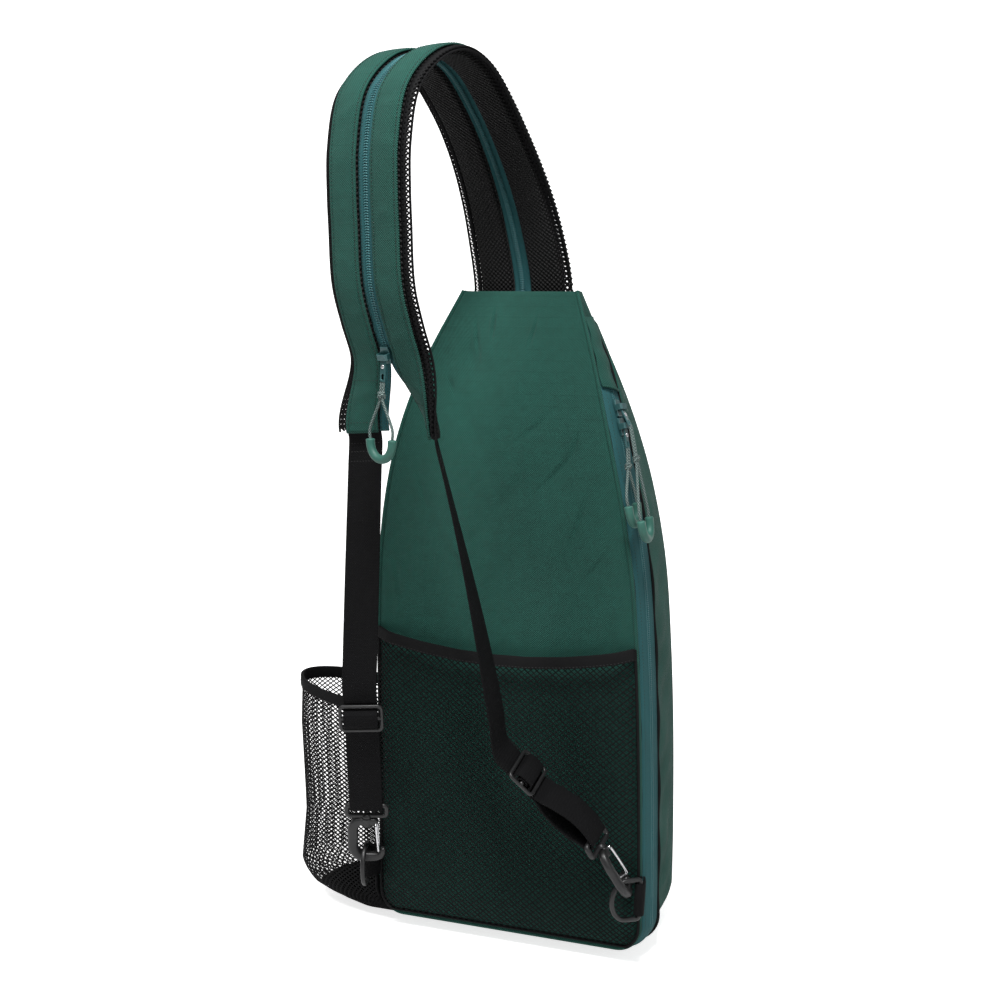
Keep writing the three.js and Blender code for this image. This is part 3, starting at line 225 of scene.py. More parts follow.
STRAP_ROUTE = np.array([
    # reach, rise
    (0.010, -0.070), (0.000, 0.020), (0.067, 0.285), (0.133, 0.455), (0.220, 0.620), (0.345, 0.800),
    (0.495, 0.950), (0.640, 1.000), (0.785, 0.960), (0.935, 0.820), (0.990, 0.600), (0.995, 0.410),
    (0.990, 0.280), (0.975, 0.030), (0.925, -0.135), (0.870, -0.280), (0.810, -0.600),
])
# side, right, away, turn of each half's free end
HALF_ENDS = {"left": (-1, -0.16, -0.02, -22), "right": (1, 0.08, 0.10, 48)}
CUP_PROFILE = np.array([
    # height, reach
    (0.005, 0.02), (0.005, 0.55), (0.025, 0.80), (0.070, 0.93), (0.160, 1.00), (0.400, 0.955),
    (0.620, 0.980), (0.820, 1.00), (1.000, 0.985),
])


# Small tools


def unit(v):
    """Each vector divided by its own length."""
    v = np.asarray(v, float)
    return v / np.maximum(np.linalg.norm(v, axis=-1, keepdims=True), 1e-12)


def ease(x):
    """3x² - 2x³, held at 0 and 1 outside them."""
    x = np.clip(x, 0, 1)
    return x * x * (3 - 2 * x)


def read(keys, values, at):
    """Cubic Hermite reading of a table, each row's slope taken between its neighbours."""
    keys, values, at = np.asarray(keys, float), np.asarray(values, float), np.asarray(at, float)
    n = len(keys)
    i = np.clip(np.searchsorted(keys[1:-1], at, "left"), 0, n - 2)
    low, high = np.maximum(np.arange(n) - 1, 0), np.minimum(np.arange(n) + 1, n - 1)
    slope = (values[high] - values[low]) / (keys[high] - keys[low])
    step = keys[i + 1] - keys[i]
    k = np.clip((at - keys[i]) / step, 0, 1)
    start = (1 + 2 * k) * (1 - k) ** 2 * values[i] + k * (1 - k) ** 2 * step * slope[i]
    return start + k * k * (3 - 2 * k) * values[i + 1] + k * k * (k - 1) * step * slope[i + 1]


def smooth_path(points, count):
    """Centripetal Catmull-Rom curve through the points, read at even steps of its length."""
    p = np.asarray(points, float)
    ends = np.vstack([2 * p[0] - p[1], p, 2 * p[-1] - p[-2]])
    t = np.linspace(0, len(p) - 1, 40 * len(p))
    i = np.minimum(t.astype(int), len(p) - 2)
    w = (t - i)[:, None]
    a, b, c, d = (ends[i + k] for k in range(4))
    gap = lambda u, v: np.maximum(np.sqrt(np.linalg.norm(v - u, axis=1, keepdims=True)), 1e-6)
    d0, d1, d2 = gap(a, b), gap(b, c), gap(c, d)
    t1 = ((b - a) / d0 - (c - a) / (d0 + d1) + (c - b) / d1) * d1
    t2 = ((c - b) / d1 - (d - b) / (d1 + d2) + (d - c) / d2) * d1
    q = b + t1 * w + (-3 * b + 3 * c - 2 * t1 - t2) * w**2 + (2 * b - 2 * c + t1 + t2) * w**3
    return even_steps(q, count)


def run_of(q):
    """Distance run along a polyline at each of its points."""
    return np.r_[0, np.cumsum(np.linalg.norm(np.diff(q, axis=0), axis=1))]


def columns_at(at, run, values):
    """Each column of a table, whose rows stand at the places run, read at other places."""
    return np.stack([np.interp(at, run, values[:, k]) for k in range(values.shape[1])], 1)


def spread_along(points, values, count):
    """Values read at even steps of a polyline's length."""
    run = run_of(points)
    return columns_at(np.linspace(0, run[-1], count), run, np.asarray(values))


def even_steps(q, count):
    """A polyline read again at even steps of its length."""
    return spread_along(q, q, count)


def path_length(q):
    """Sum of the distances between a polyline's neighbours."""
    return float(np.linalg.norm(np.diff(q, axis=0), axis=1).sum())


def turned(v, axis, angle):
    """Rodrigues' turn of v about a unit axis."""
    c, s = np.cos(angle)[..., None], np.sin(angle)[..., None]
    dot = (v * axis).sum(-1, keepdims=True)
    return v * c + np.cross(axis, v) * s + axis * dot * (1 - c)


def squared(up, hint):
    """Columns x, y, z of a rigid piece: z is its up, x the hint squared to it."""
    z = unit(up)
    x = np.asarray(hint, float) - np.dot(hint, z) * z
    x = unit(x)
    return np.stack([x, np.cross(z, x), z], 1)


def quads(i, j, k, wide):
    """Corner numbers of quads between rows i, i + 1 and columns j, k of a grid that is wide points wide."""
    return np.stack([i * wide + j, i * wide + k, (i + 1) * wide + k, (i + 1) * wide + j], -1).reshape(-1, 4)


class Shape:
    """Grids of points in millimetres, gathered with their faces and UVs before they become one mesh."""

    def __init__(self):
        self.points, self.faces, self.uvs, self.count = [], [], [], 0

    def add(self, points, faces, uvs):
        """One more grid: its faces count their points from the ones that are there."""
        self.points.append(np.asarray(points, float).reshape(-1, 3))
        self.faces.append(np.asarray(faces) + self.count)
        self.uvs.append(np.asarray(uvs, float))
        self.count += len(self.points[-1])

    def grid(self, points, uv=None, flip=False, wrap=False):
        """Quads between neighbours of a rows by columns grid, closed round its columns if wrap."""
        r, c = points.shape[:2]
        cells = c if wrap else c - 1
        i, j = np.meshgrid(np.arange(r - 1), np.arange(cells), indexing="ij")
        k = (j + 1) % c
        faces = quads(i, j, k, c)
        if uv is None:
            closed = np.concatenate([points, points[:, :1]], 1) if wrap else points
            uv = measured(closed)
        uvs = uv.reshape(-1, 2)[quads(i, j, j + 1, uv.shape[1])]
        if flip:
            faces, uvs = faces[:, ::-1], uvs[:, ::-1]
        self.add(points, faces, uvs)

    def wall(self, outer, inner, uv=None):
        """A wall between two grids, closed round its four edges."""
        uv = measured(outer) if uv is None else uv
        self.grid(outer, uv)
        self.grid(inner, uv, flip=True)
        edges = ((np.s_[0, :], False), (np.s_[-1, :], True), (np.s_[:, 0], True), (np.s_[:, -1], False))
        for side, flip in edges:
            self.grid(np.stack([outer[side], inner[side]]), np.stack([uv[side], uv[side]]), flip=flip)

    def tube(self, rings, uv=None, caps=True):
        """Closed rings joined one to the next, with a cap on each end."""
        self.grid(rings, uv, wrap=True)
        if not caps:
            return
        m = rings.shape[1]
        flat = np.zeros((1, m, 2))
        self.add(rings[0], np.arange(m)[None, ::-1], flat)
        self.add(rings[-1], np.arange(m)[None, :], flat)

    def make(self, name, look, body=BAG, replaces=(), fix=False):
        """The mesh object in metres in the row frame, riding on its body, with its look's material."""
        points = (np.concatenate(self.points) + OFFSET) / 1000
        corners = np.concatenate([f.ravel() for f in self.faces])
        totals = np.concatenate([np.full(len(f), f.shape[1]) for f in self.faces])
        starts = np.r_[0, np.cumsum(totals)[:-1]]
        mesh = bpy.data.meshes.new(name)
        mesh.vertices.add(len(points))
        mesh.vertices.foreach_set("co", points.ravel())
        mesh.loops.add(len(corners))
        mesh.loops.foreach_set("vertex_index", corners.astype(np.int32))
        mesh.polygons.add(len(starts))
        mesh.polygons.foreach_set("loop_start", starts.astype(np.int32))
        layer = mesh.uv_layers.new(name="UVMap")
        layer.data.foreach_set("uv", np.concatenate([u.reshape(-1, 2) for u in self.uvs]).ravel())
        mesh.update(calc_edges=True)
        mesh.validate()
        mesh.polygons.foreach_set("use_smooth", np.full(len(mesh.polygons), True))
        obj = bpy.data.objects.new(name, mesh)
        bpy.context.scene.collection.objects.link(obj)
        if fix:
            outward(mesh)
        mesh.materials.append(FINISH[look])
        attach(obj, body)
        if replaces:
            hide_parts(*replaces)
        return obj


def outward(mesh):
    """Doubles merged, then every face of the mesh turned outwards."""
    work = bmesh.new()
    work.from_mesh(mesh)
    bmesh.ops.remove_doubles(work, verts=work.verts, dist=1e-6)
    bmesh.ops.recalc_face_normals(work, faces=work.faces)
    work.to_mesh(mesh)
    work.free()


def measured(points):
    """UVs in millimetres: the mean distance run along the rows and along the columns."""
    r, c = points.shape[:2]
    along = np.linalg.norm(np.diff(points, axis=0), axis=2).mean(1) if r > 1 else np.zeros(0)
    aside = np.linalg.norm(np.diff(points, axis=1), axis=2).mean(0) if c > 1 else np.zeros(0)
    v, u = np.r_[0, np.cumsum(along)], np.r_[0, np.cumsum(aside)]
    return np.stack(np.broadcast_arrays(u[None, :], v[:, None]), -1)


def normals(points):
    """Unit normals of a grid from the cross product of its central differences."""
    return unit(np.cross(np.gradient(points, axis=0), np.gradient(points, axis=1)))


def circle(radius, sides, squash=1.0, power=2.0):
    """A ring of points (a, h) on |a|^power + |h / squash|^power = radius^power."""
    angle = np.linspace(0, 2 * np.pi, sides, endpoint=False)
    c, s = np.cos(angle), np.sin(angle)
    k = radius / (np.abs(c) ** power + np.abs(s) ** power) ** (1 / power)
    return np.stack([k * c, k * s * squash], 1)


def box_ring(width, height, radius, per_corner=4):
    """A rectangle with rounded corners, anticlockwise."""
    angle = np.linspace(0, np.pi / 2, per_corner)
    arc = np.stack([np.cos(angle), np.sin(angle)], 1) * radius
    turns = [(1, 1, 0), (-1, 1, 1), (-1, -1, 2), (1, -1, 3)]
    out = []
    for sx, sy, quarter in turns:
        c, s = math.cos(quarter * math.pi / 2), math.sin(quarter * math.pi / 2)
        spun = arc @ np.array([[c, s], [-s, c]])
        out.append(spun + (sx * (width / 2 - radius), sy * (height / 2 - radius)))
    return np.concatenate(out)


def path_frames(path, ref, closed=False):
    """Along, across and out at each point of a path, squared to a reference direction."""
    if closed:
        along = unit(np.roll(path, -1, 0) - np.roll(path, 1, 0))
    else:
        along = unit(np.gradient(path, axis=0))
    ref = np.broadcast_to(np.asarray(ref, float), path.shape)
    across = unit(ref - (ref * along).sum(1, keepdims=True) * along)
    return along, across, np.cross(along, across)


def carried(path, across, out, section):
    """Rings: each path point plus a·across plus h·out for every (a, h) of its section."""
    section = np.asarray(section, float)
    if section.ndim == 2:
        section = np.broadcast_to(section, (len(path),) + section.shape)
    a, h = section[..., 0:1], section[..., 1:2]
    return path[:, None] + a * across[:, None] + h * out[:, None]


def rod(shape, path, section, ref=(0, 0, 1), closed=False, caps=True):
    """A section carried along a path."""
    path = np.asarray(path, float)
    _, across, out = path_frames(path, ref, closed)
    rings = carried(path, across, out, section)
    if closed:
        rings = np.concatenate([rings, rings[:1]])
    shape.tube(rings, caps=caps and not closed)


def stitches(shape, path, out, across, size, width=0.55, gap=0.45, rise=0.25, sideways=False):
    """A run of stitches: six-sided grains, each as long as size less its gap, lying on a path. A sideways
    one lies across it, as long as its width."""
    count = max(1, int(path_length(path) / size))
    mid = even_steps(path, 2 * count + 1)[1::2]
    ways = (np.broadcast_to(v, path.shape) for v in (out, across))
    o, s = (unit(spread_along(path, way, 2 * count + 1)[1::2]) for way in ways)
    a = np.cross(s, o)
    half = size * (1 - gap) / 2
    if sideways:
        a, s, half, width = s, -a, width / 2, 2 * half
    stations = np.array([(-1.0, 0.35), (-0.5, 1.0), (0.5, 1.0), (1.0, 0.35)])
    ring = np.array([(math.cos(k * math.pi / 3), math.sin(k * math.pi / 3)) for k in range(6)])
    p = (mid[:, None, None]
         + stations[None, :, None, 0:1] * half * a[:, None, None]
         + stations[None, :, None, 1:2] * (ring[None, None, :, 0:1] * width / 2 * s[:, None, None]
                                           + ring[None, None, :, 1:2] * rise * o[:, None, None]))
    n, rows, sides = p.shape[:3]
    i, j = np.meshgrid(np.arange(rows - 1), np.arange(sides), indexing="ij")
    k = (j + 1) % sides
    faces = (quads(i, j, k, sides)[None] + (np.arange(n) * rows * sides)[:, None, None]).reshape(-1, 4)
    shape.add(p, faces, np.zeros(faces.shape + (2,)))
    for row, order in ((0, slice(None, None, -1)), (rows - 1, slice(None))):
        caps = np.arange(sides)[order][None] + row * sides + (np.arange(n) * rows * sides)[:, None]
        shape.faces.append(caps + shape.count - n * rows * sides)
        shape.uvs.append(np.zeros(caps.shape + (2,)))


def net(shape, place, u_range, v_range, cell, opening, wall, inside=None):
    """A net of lozenge cells. Cell centres stand at (i, j) with i + j odd, in half cells. Each cell's
    hole is its own outline shrunk about its middle, and place(u, v) gives points and normals."""
    w, h = cell[0] / 2, cell[1] / 2
    i, j = np.meshgrid(
        np.arange(int(u_range[0] / w), int(u_range[1] / w) + 1),
        np.arange(int(v_range[0] / h), int(v_range[1] / h) + 1), indexing="ij",
    )
    odd = (i + j) % 2 == 1
    centre = np.stack([i[odd] * w, j[odd] * h], 1)
    keep = (centre[:, 0] > u_range[0] + w) & (centre[:, 0] < u_range[1] - w)
    keep &= (centre[:, 1] > v_range[0] + h) & (centre[:, 1] < v_range[1] - h)
    if inside is not None:
        keep &= inside(centre[:, 0], centre[:, 1])
    centre = centre[keep]
    reach = np.array([(w, 0), (0, h), (-w, 0), (0, -h)])
    corner = (centre[:, None] + reach).reshape(-1, 2)
    hole = (centre[:, None] + reach * opening).reshape(-1, 2)
    key = np.round(corner / (w, h)).astype(int)
    both, back = np.unique(key, axis=0, return_inverse=True)
    back = back.reshape(-1)
    flat = np.concatenate([both * (w, h), hole])
    point, normal = place(flat[:, 0], flat[:, 1])
    m = len(flat)
    points = np.concatenate([point, point - normal * wall])
    a = back.reshape(-1, 4)
    b = np.roll(a, -1, 1)
    c = (np.arange(len(hole)) + len(both)).reshape(-1, 4)
    d = np.roll(c, -1, 1)
    front = np.stack([a, b, d, c], -1).reshape(-1, 4)
    wallq = np.stack([c, d, d + m, c + m], -1).reshape(-1, 4)
    ends = np.stack([a, b], -1).reshape(-1, 2)
    _, first, seen = np.unique(np.sort(ends, 1), axis=0, return_index=True, return_counts=True)
    rim = ends[first[seen == 1]]
    rimq = np.stack([rim[:, 1], rim[:, 0], rim[:, 0] + m, rim[:, 1] + m], -1)
    faces = np.concatenate([front, front[:, ::-1] + m, wallq, rimq])
    uv = np.concatenate([flat, flat])
    shape.add(points, faces, uv[faces])


# The bag's own formulas, the same as the solids'


def half_at(z, inset=0.0):
    """Half width of the outline at a height, less the bottom corner's round, or inset from it."""
    z = np.asarray(z, float)
    plain = lambda h: B.width / 2 * read(BAG_PROFILE[:, 0], BAG_PROFILE[:, 1], h / B.height)
    r = max(1, B.corner - inset)
    above = z - inset
    corner = np.where(above < r, r - np.sqrt(np.maximum(0, r * r - (r - above) ** 2)), 0)
    slope = (plain(z + 1) - plain(z - 1)) / 2
    return plain(z) - inset * np.hypot(1, slope) - corner


def back_at(z):
    """The back panel's y: the depth times its share in the profile at the height."""
    return B.depth * read(BAG_PROFILE[:, 0], BAG_PROFILE[:, 2], np.asarray(z) / B.height)


def front_at(z):
    """The front panel's y: the depth times its share in the profile at the height."""
    return B.depth * read(BAG_PROFILE[:, 0], BAG_PROFILE[:, 3], np.asarray(z) / B.height)


def ridges(table, share, z, depth, sharp=4.0):
    """Sum of ridges: depth times exp of minus the squared distances along and across each one."""
    total = np.zeros(np.broadcast(share, z).shape)
    for across, height, long, broad, deep, angle in table:
        dx, dz = (share - across) * B.width / 2, z - height * B.height
        c, s = math.cos(math.radians(angle)), math.sin(math.radians(angle))
        far = ((dx * c + dz * s) / (long * B.width)) ** 2 * sharp
        far = far + ((dz * c - dx * s) / (broad * B.width)) ** 2
        total = total + deep * depth * np.exp(-far)
    return total * (1 - np.abs(share) ** 4)


def fold_at(share, z):
    """The solids' own folds: ridges in shares of the depth."""
    return ridges(BACK_FOLDS, share, z, B.depth)


def crease_at(share, z):
    """Fine creases with one steep side: a ridge less the same ridge moved a little aside."""
    one = ridges(BACK_CREASES, share, z, B.fold_depth)
    return one - 0.6 * ridges(BACK_CREASES, share + 0.02, z, B.fold_depth)


def band_at(z):
    """Width of the side zip's band, narrower towards the bag's top."""
    narrow = 0.6
    wide = 2 * B.zip_tape + 5 * B.seam_gap
    return wide * (narrow + (1 - narrow) * ease((B.height - z) / (B.height * 0.25)))


def seam_at(z):
    """The back seam's y: back, plus the panel's wall, plus the seam's room."""
    return back_at(z) + B.back_wall + B.seam_gap


def bulge_at(z, y):
    """Swelling of the side wall: sine of pi times the share of the depth to the power 0.6."""
    start, end = seam_at(z), front_at(z) - B.front_edge
    share = np.clip((y - start) / np.maximum(1, end - start), 0, 1)
    return B.bulge * np.sin(np.pi * share**0.6) * ease((end - start) / (B.depth * 0.6))


def levels(inset, top, corner=14, rows=110):
    """Heights of rows of points: close together round the bottom corner, even above it."""
    r = max(1, B.corner - inset)
    low = inset + r * (1 - np.cos(np.linspace(0, np.pi / 2, corner, endpoint=False)))
    return np.r_[low, np.linspace(inset + r, top, rows)]


def outline(top):
    """Places, outward ways and sides of the bag's outline: down the right, along the bottom, up the left."""
    rows = levels(0, top, 12, 100)
    right = np.stack([half_at(rows), 0 * rows, rows], 1)[::-1]
    x = np.linspace(right[-1, 0], -right[-1, 0], 42)[1:-1]
    bottom = np.stack([x, 0 * x, 0 * x], 1)
    left = right[::-1] * (-1, 1, 1)
    place = np.concatenate([right, bottom, left])
    side = np.r_[np.ones(len(right)), np.zeros(len(x)), -np.ones(len(left))]
    along = unit(np.gradient(place, axis=0))
    return place, np.stack([-along[:, 2], 0 * side, along[:, 0]], 1), side


# The strap's route, the same as the solids'


def strap_route():
    """The strap's middle line over the bag's top, as points at 400 even shares of its length."""
    root = float(back_at(B.height)) + B.back_wall + S.thickness / 2 + 2.2
    reach, rise = STRAP_ROUTE[:, 0] * S.reach, STRAP_ROUTE[:, 1] * S.rise
    points = np.stack([-math.sin(S.lean) * reach, root - math.cos(S.lean) * reach, B.height + rise], 1)
    return smooth_path(points, 401)


def strap_frame(share):
    """Place, along, across and out at shares of the strap's length."""
    share = np.atleast_1d(np.asarray(share, float))
    at = np.linspace(0, 1, len(ROUTE))
    place, along = columns_at(share, at, ROUTE), unit(columns_at(share, at, np.gradient(ROUTE, axis=0)))
    turn = S.lean * ease(share / 0.3)
    across = np.stack([np.cos(turn), -np.sin(turn), 0 * turn], 1)
    across = unit(across - (across * along).sum(1, keepdims=True) * along)
    return place, along, across, np.cross(along, across)


def half_frame(share, side, right, away, turn):
    """One half of the strap, measured from the zip's edge outwards: its free end moved and turned."""
    share = np.atleast_1d(np.asarray(share, float))
    place, along, across, out = strap_frame(share)
    free = ease((share - S.slit) / (1 - S.slit))
    middle = side * S.width / 4
    centre = place + across * middle
    centre[:, 0] += right * S.width * free
    centre[:, 1] += away * S.width * free
    angle = np.radians(turn) * free
    across, out = turned(across, along, angle), turned(out, along, angle)
    return centre - across * middle - out * S.thickness / 2, along, across, out, centre


def tape_level():
    """The zip tape's level over the strap's underside: the coil's height and three layer gaps."""
    return COIL[1] + 3 * LAYER_GAP


def shoulder_rest():
    """The strap's highest underside point, where the row's origin stands."""
    place, _, _, out = strap_frame(np.arange(1, 200) / 200)
    top = int(np.argmax(place[:, 2]))
    return place[top] + out[top] * (2 * LAYER_GAP - S.thickness / 2)


# Finishes


def group(name, inputs, outputs):
    """A shader node group with named inputs (name, kind, default) and outputs (name, kind)."""
    tree = bpy.data.node_groups.new(name, "ShaderNodeTree")
    for label, kind, default in inputs:
        socket = tree.interface.new_socket(label, in_out="INPUT", socket_type="NodeSocket" + kind)
        if default is not None:
            socket.default_value = default
    for label, kind in outputs:
        tree.interface.new_socket(label, in_out="OUTPUT", socket_type="NodeSocket" + kind)
    given, result = (tree.nodes.new("NodeGroup" + kind) for kind in ("Input", "Output"))
    return tree, Wires(tree), given.outputs, result.inputs


class Wires:
    """Short ways of adding nodes to one tree."""

    def __init__(self, tree):
        self.tree = tree

    def node(self, kind, inputs=(), **settings):
        node = self.tree.nodes.new("ShaderNode" + kind)
        for key, value in settings.items():
            setattr(node, key, value)
        for key, value in dict(inputs).items():
            self.put(node.inputs[key], value)
        return node

    def put(self, socket, value):
        if isinstance(value, bpy.types.NodeSocket):
            self.tree.links.new(value, socket)
        else:
            socket.default_value = value

    def math(self, operation, *values, clamp=False):
        node = self.node("Math", operation=operation, use_clamp=clamp)
        for socket, value in zip(node.inputs, values):
            self.put(socket, value)
        return node.outputs[0]

    def mix(self, share, a, b, blend="MIX"):
        node = self.node("Mix", data_type="RGBA", blend_type=blend)
        self.put(node.inputs[0], share)
        self.put(node.inputs[6], a)
        self.put(node.inputs[7], b)
        return node.outputs[2]


def weave_group():
    """Over-and-under threads: the product of two sine waves, with thicker threads at even steps."""
    tree, w, given, result = group(
        "Weave",
        [("Vector", "Vector", None), ("Pitch", "Float", 1.0), ("Aspect", "Float", 1.0),
         ("Rip", "Float", 6.0)],
        [("Height", "Float"), ("Rip", "Float"), ("Rows", "Float")],
    )
    parts = w.node("SeparateXYZ", {0: given["Vector"]}).outputs
    full = 2 * math.pi
    u = w.math("SINE", w.math("MULTIPLY", w.math("DIVIDE", parts[0], given["Pitch"]), full))
    pitch = w.math("MULTIPLY", given["Pitch"], given["Aspect"])
    v = w.math("SINE", w.math("MULTIPLY", w.math("DIVIDE", parts[1], pitch), full))
    height = w.math("MULTIPLY_ADD", w.math("MULTIPLY", u, v), 0.5, 0.5)
    step = w.math("MULTIPLY", given["Pitch"], given["Rip"])
    lines = [w.math("PINGPONG", parts[k], w.math("MULTIPLY", step, 0.5)) for k in (0, 1)]
    near = w.math("MINIMUM", lines[0], lines[1])
    rip = w.math("LESS_THAN", near, w.math("MULTIPLY", given["Pitch"], 0.35))
    w.put(result["Height"], height)
    w.put(result["Rip"], rip)
    w.put(result["Rows"], w.math("MULTIPLY_ADD", v, 0.5, 0.5))
    return tree


def mottle_group():
    """Slow and fine variation of one colour, by two noises on object coordinates."""
    tree, w, given, result = group(
        "Mottle",
        [("Vector", "Vector", None), ("Color", "Color", None), ("Amount", "Float", 0.2),
         ("Scale", "Float", 20.0)],
        [("Color", "Color"), ("Mask", "Float")],
    )
    slow = w.node("TexNoise", {"Vector": given["Vector"], "Scale": given["Scale"], "Detail": 3.0}).outputs[0]
    close = w.math("MULTIPLY", given["Scale"], 18.0)
    fine = w.node("TexNoise", {"Vector": given["Vector"], "Scale": close, "Detail": 2.0}).outputs[0]
    mask = w.math("ADD", w.math("MULTIPLY", slow, 0.65), w.math("MULTIPLY", fine, 0.35))
    span = w.math("MULTIPLY", w.math("SUBTRACT", mask, 0.5), w.math("MULTIPLY", given["Amount"], 4.0))
    factor = w.math("ADD", span, 1.0)
    scaled = w.node("VectorMath", operation="SCALE")
    w.put(scaled.inputs[0], given["Color"])
    w.put(scaled.inputs[3], factor)
    w.put(result["Color"], scaled.outputs[0])
    w.put(result["Mask"], mask)
    return tree


def wear_group():
    """Pale worn edges: how far the bevelled normal leaves the true one, broken up by noise."""
    tree, w, given, result = group(
        "Edge wear",
        [("Vector", "Vector", None), ("Radius", "Float", 0.0008), ("Amount", "Float", 0.5)],
        [("Mask", "Float")],
    )
    soft = w.node("Bevel", {"Radius": given["Radius"]}, samples=4).outputs[0]
    hard = w.node("NewGeometry").outputs["Normal"]
    dot = w.node("VectorMath", {0: soft, 1: hard}, operation="DOT_PRODUCT").outputs["Value"]
    edge = w.math("MULTIPLY", w.math("SUBTRACT", 1.0, dot), 6.0, clamp=True)
    noise = w.node("TexNoise", {"Vector": given["Vector"], "Scale": 260.0, "Detail": 3.0}).outputs[0]
    w.put(result["Mask"], w.math("MULTIPLY", w.math("MULTIPLY", edge, noise), given["Amount"], clamp=True))
    return tree


def finish(groups, name, colour, rough, weave=None, mottle=(0.25, 24.0), bump=(0.3, 0.0004), grain=None,
           wear=None, metallic=0.0, sheen=0.0, rip=0.0, rows=0.0, second=None, coat=0.0, specular=0.5):
    """One material: mottled colour with the weave's painted light and shade, woven or grained bump, worn
    edges, its plain numbers on the shader.

    weave is its pitch, aspect and rip; mottle its amount and scale; bump its strength and distance."""
    material = bpy.data.materials.new(name)
    material.use_nodes = True
    w = Wires(material.node_tree)
    shader = material.node_tree.nodes["Principled BSDF"]
    place = w.node("TexCoord").outputs["Object"]
    uv = w.node("UVMap").outputs["UV"]
    tone = w.node("Group", node_tree=groups["mottle"])
    w.put(tone.inputs["Vector"], place)
    w.put(tone.inputs["Color"], (*colour, 1))
    w.put(tone.inputs["Amount"], mottle[0])
    w.put(tone.inputs["Scale"], mottle[1])
    colour_out, height = tone.outputs["Color"], None
    if weave:
        cloth = w.node("Group", node_tree=groups["weave"])
        for key, value in zip(("Vector", "Pitch", "Aspect", "Rip"), (uv,) + tuple(weave)):
            w.put(cloth.inputs[key], value)
        height = cloth.outputs["Height"]
        # painted light and shade of the weave: the colour is scaled from half to 1.4 times by the weave's
        # height, lighter on raised threads, darker in the hollows between them
        weave_light_and_shade = w.node("VectorMath", {0: colour_out}, operation="SCALE")
        w.put(weave_light_and_shade.inputs[3], w.math("MULTIPLY_ADD", height, 0.9, 0.5))
        colour_out = weave_light_and_shade.outputs[0]
        if rip:
            height = w.math("MULTIPLY_ADD", cloth.outputs["Rip"], rip, height)
        if rows:
            height = w.math("MULTIPLY_ADD", cloth.outputs["Rows"], rows, height)
        if second:
            fleck = w.math("GREATER_THAN", cloth.outputs["Height"], 0.62)
            colour_out = w.mix(fleck, colour_out, (*second, 1))
    if grain:
        noise = w.node("TexNoise", {"Vector": place, "Scale": grain, "Detail": 3.0}).outputs[0]
        height = noise if height is None else w.math("MULTIPLY_ADD", noise, 0.35, height)
    if wear:
        worn = w.node("Group", node_tree=groups["wear"])
        w.put(worn.inputs["Vector"], place)
        w.put(worn.inputs["Amount"], wear)
        pale = tuple(min(1, 3.5 * c + 0.05) for c in colour)
        colour_out = w.mix(worn.outputs["Mask"], colour_out, (*pale, 1))
    w.put(shader.inputs["Base Color"], colour_out)
    if height is not None:
        relief = w.node("Bump", {"Strength": bump[0], "Distance": bump[1], "Height": height})
        w.put(shader.inputs["Normal"], relief.outputs[0])
    uneven = w.math("MULTIPLY_ADD", tone.outputs["Mask"], 0.25, rough - 0.12, clamp=True)
    w.put(shader.inputs["Roughness"], uneven)
    shader.inputs["Metallic"].default_value = metallic
    shader.inputs["Specular IOR Level"].default_value = specular
    shader.inputs["Sheen Weight"].default_value = sheen
    shader.inputs["Sheen Roughness"].default_value = 0.4
    shader.inputs["Coat Weight"].default_value = coat
    return material


def finishes():
    """All materials by name."""
    c = sizes("colours")
    shade = lambda colour, share: tuple(share * k for k in colour)
    looks = {
        "cloth": ("Woven cloth", c.cloth, 0.8, dict(weave=(1.7, 0.95, 5.0), mottle=(0.24, 9.0), rip=0.8,
                                                    bump=(0.8, 0.0007), sheen=0.03, specular=0.2)),
        "tape": ("Zip tape", c.tape, 0.78, dict(weave=(1.1, 2.2, 40.0), mottle=(0.12, 30.0),
                                                bump=(0.8, 0.0004), specular=0.25)),
        "coil": ("Zip coil", shade(c.tape, 1.35), 0.42, dict(grain=900.0, bump=(0.15, 0.0001))),
        "net": ("Net thread", c.net, 0.7, dict(grain=1500.0, bump=(0.3, 0.0001), specular=0.12)),
        "airmesh": ("Air mesh", shade(c.net, 0.35), 0.62, dict(weave=(3.4, 1.0, 60.0), bump=(1.0, 0.0030),
                                                               mottle=(0.3, 60.0), specular=0.22)),
        "web": ("Webbing", c.web, 0.78, dict(weave=(1.25, 1.8, 60.0), bump=(0.9, 0.0005),
                                             mottle=(0.25, 40.0), rows=0.3, specular=0.1)),
        "bind": ("Binding", c.web, 0.74, dict(weave=(0.9, 1.6, 60.0), bump=(0.8, 0.0003),
                                              mottle=(0.3, 40.0), specular=0.14)),
        "plastic": ("Moulded plastic", c.plastic, 0.42, dict(grain=1100.0, bump=(0.12, 0.0001), wear=0.35,
                                                             mottle=(0.15, 60.0))),
        "metal": ("Teal enamel", c.metal, 0.36, dict(grain=800.0, bump=(0.1, 0.0001), wear=0.6,
                                                     metallic=0.35, coat=0.4, mottle=(0.15, 90.0))),
        "wire": ("Drawn wire", c.wire, 0.24, dict(grain=1400.0, bump=(0.08, 0.0001), metallic=1.0,
                                                  mottle=(0.08, 120.0))),
        "cord": ("Braided cord", c.cord, 0.75, dict(weave=(1.5, 1.5, 60.0), bump=(1.0, 0.0005),
                                                    second=c.fleck)),
        "grip": ("Grip", c.grip, 0.55, dict(grain=700.0, bump=(0.2, 0.0001), wear=0.25, sheen=0.15)),
        # the sewing thread is painted at a third of the cloth's colour: painted shade standing in for the
        # shadowed stitch holes
        "thread": ("Sewing thread", shade(c.cloth, 0.3), 0.7, dict(grain=2000.0, bump=(0.2, 0.0001))),
        "dark_thread": ("Dark thread", shade(c.web, 1.6), 0.7, dict(grain=2000.0, bump=(0.2, 0.0001))),
    }
    groups = {"weave": weave_group(), "mottle": mottle_group(), "wear": wear_group()}
    return {key: finish(groups, *plain, **rest) for key, (*plain, rest) in looks.items()}


# Body pieces


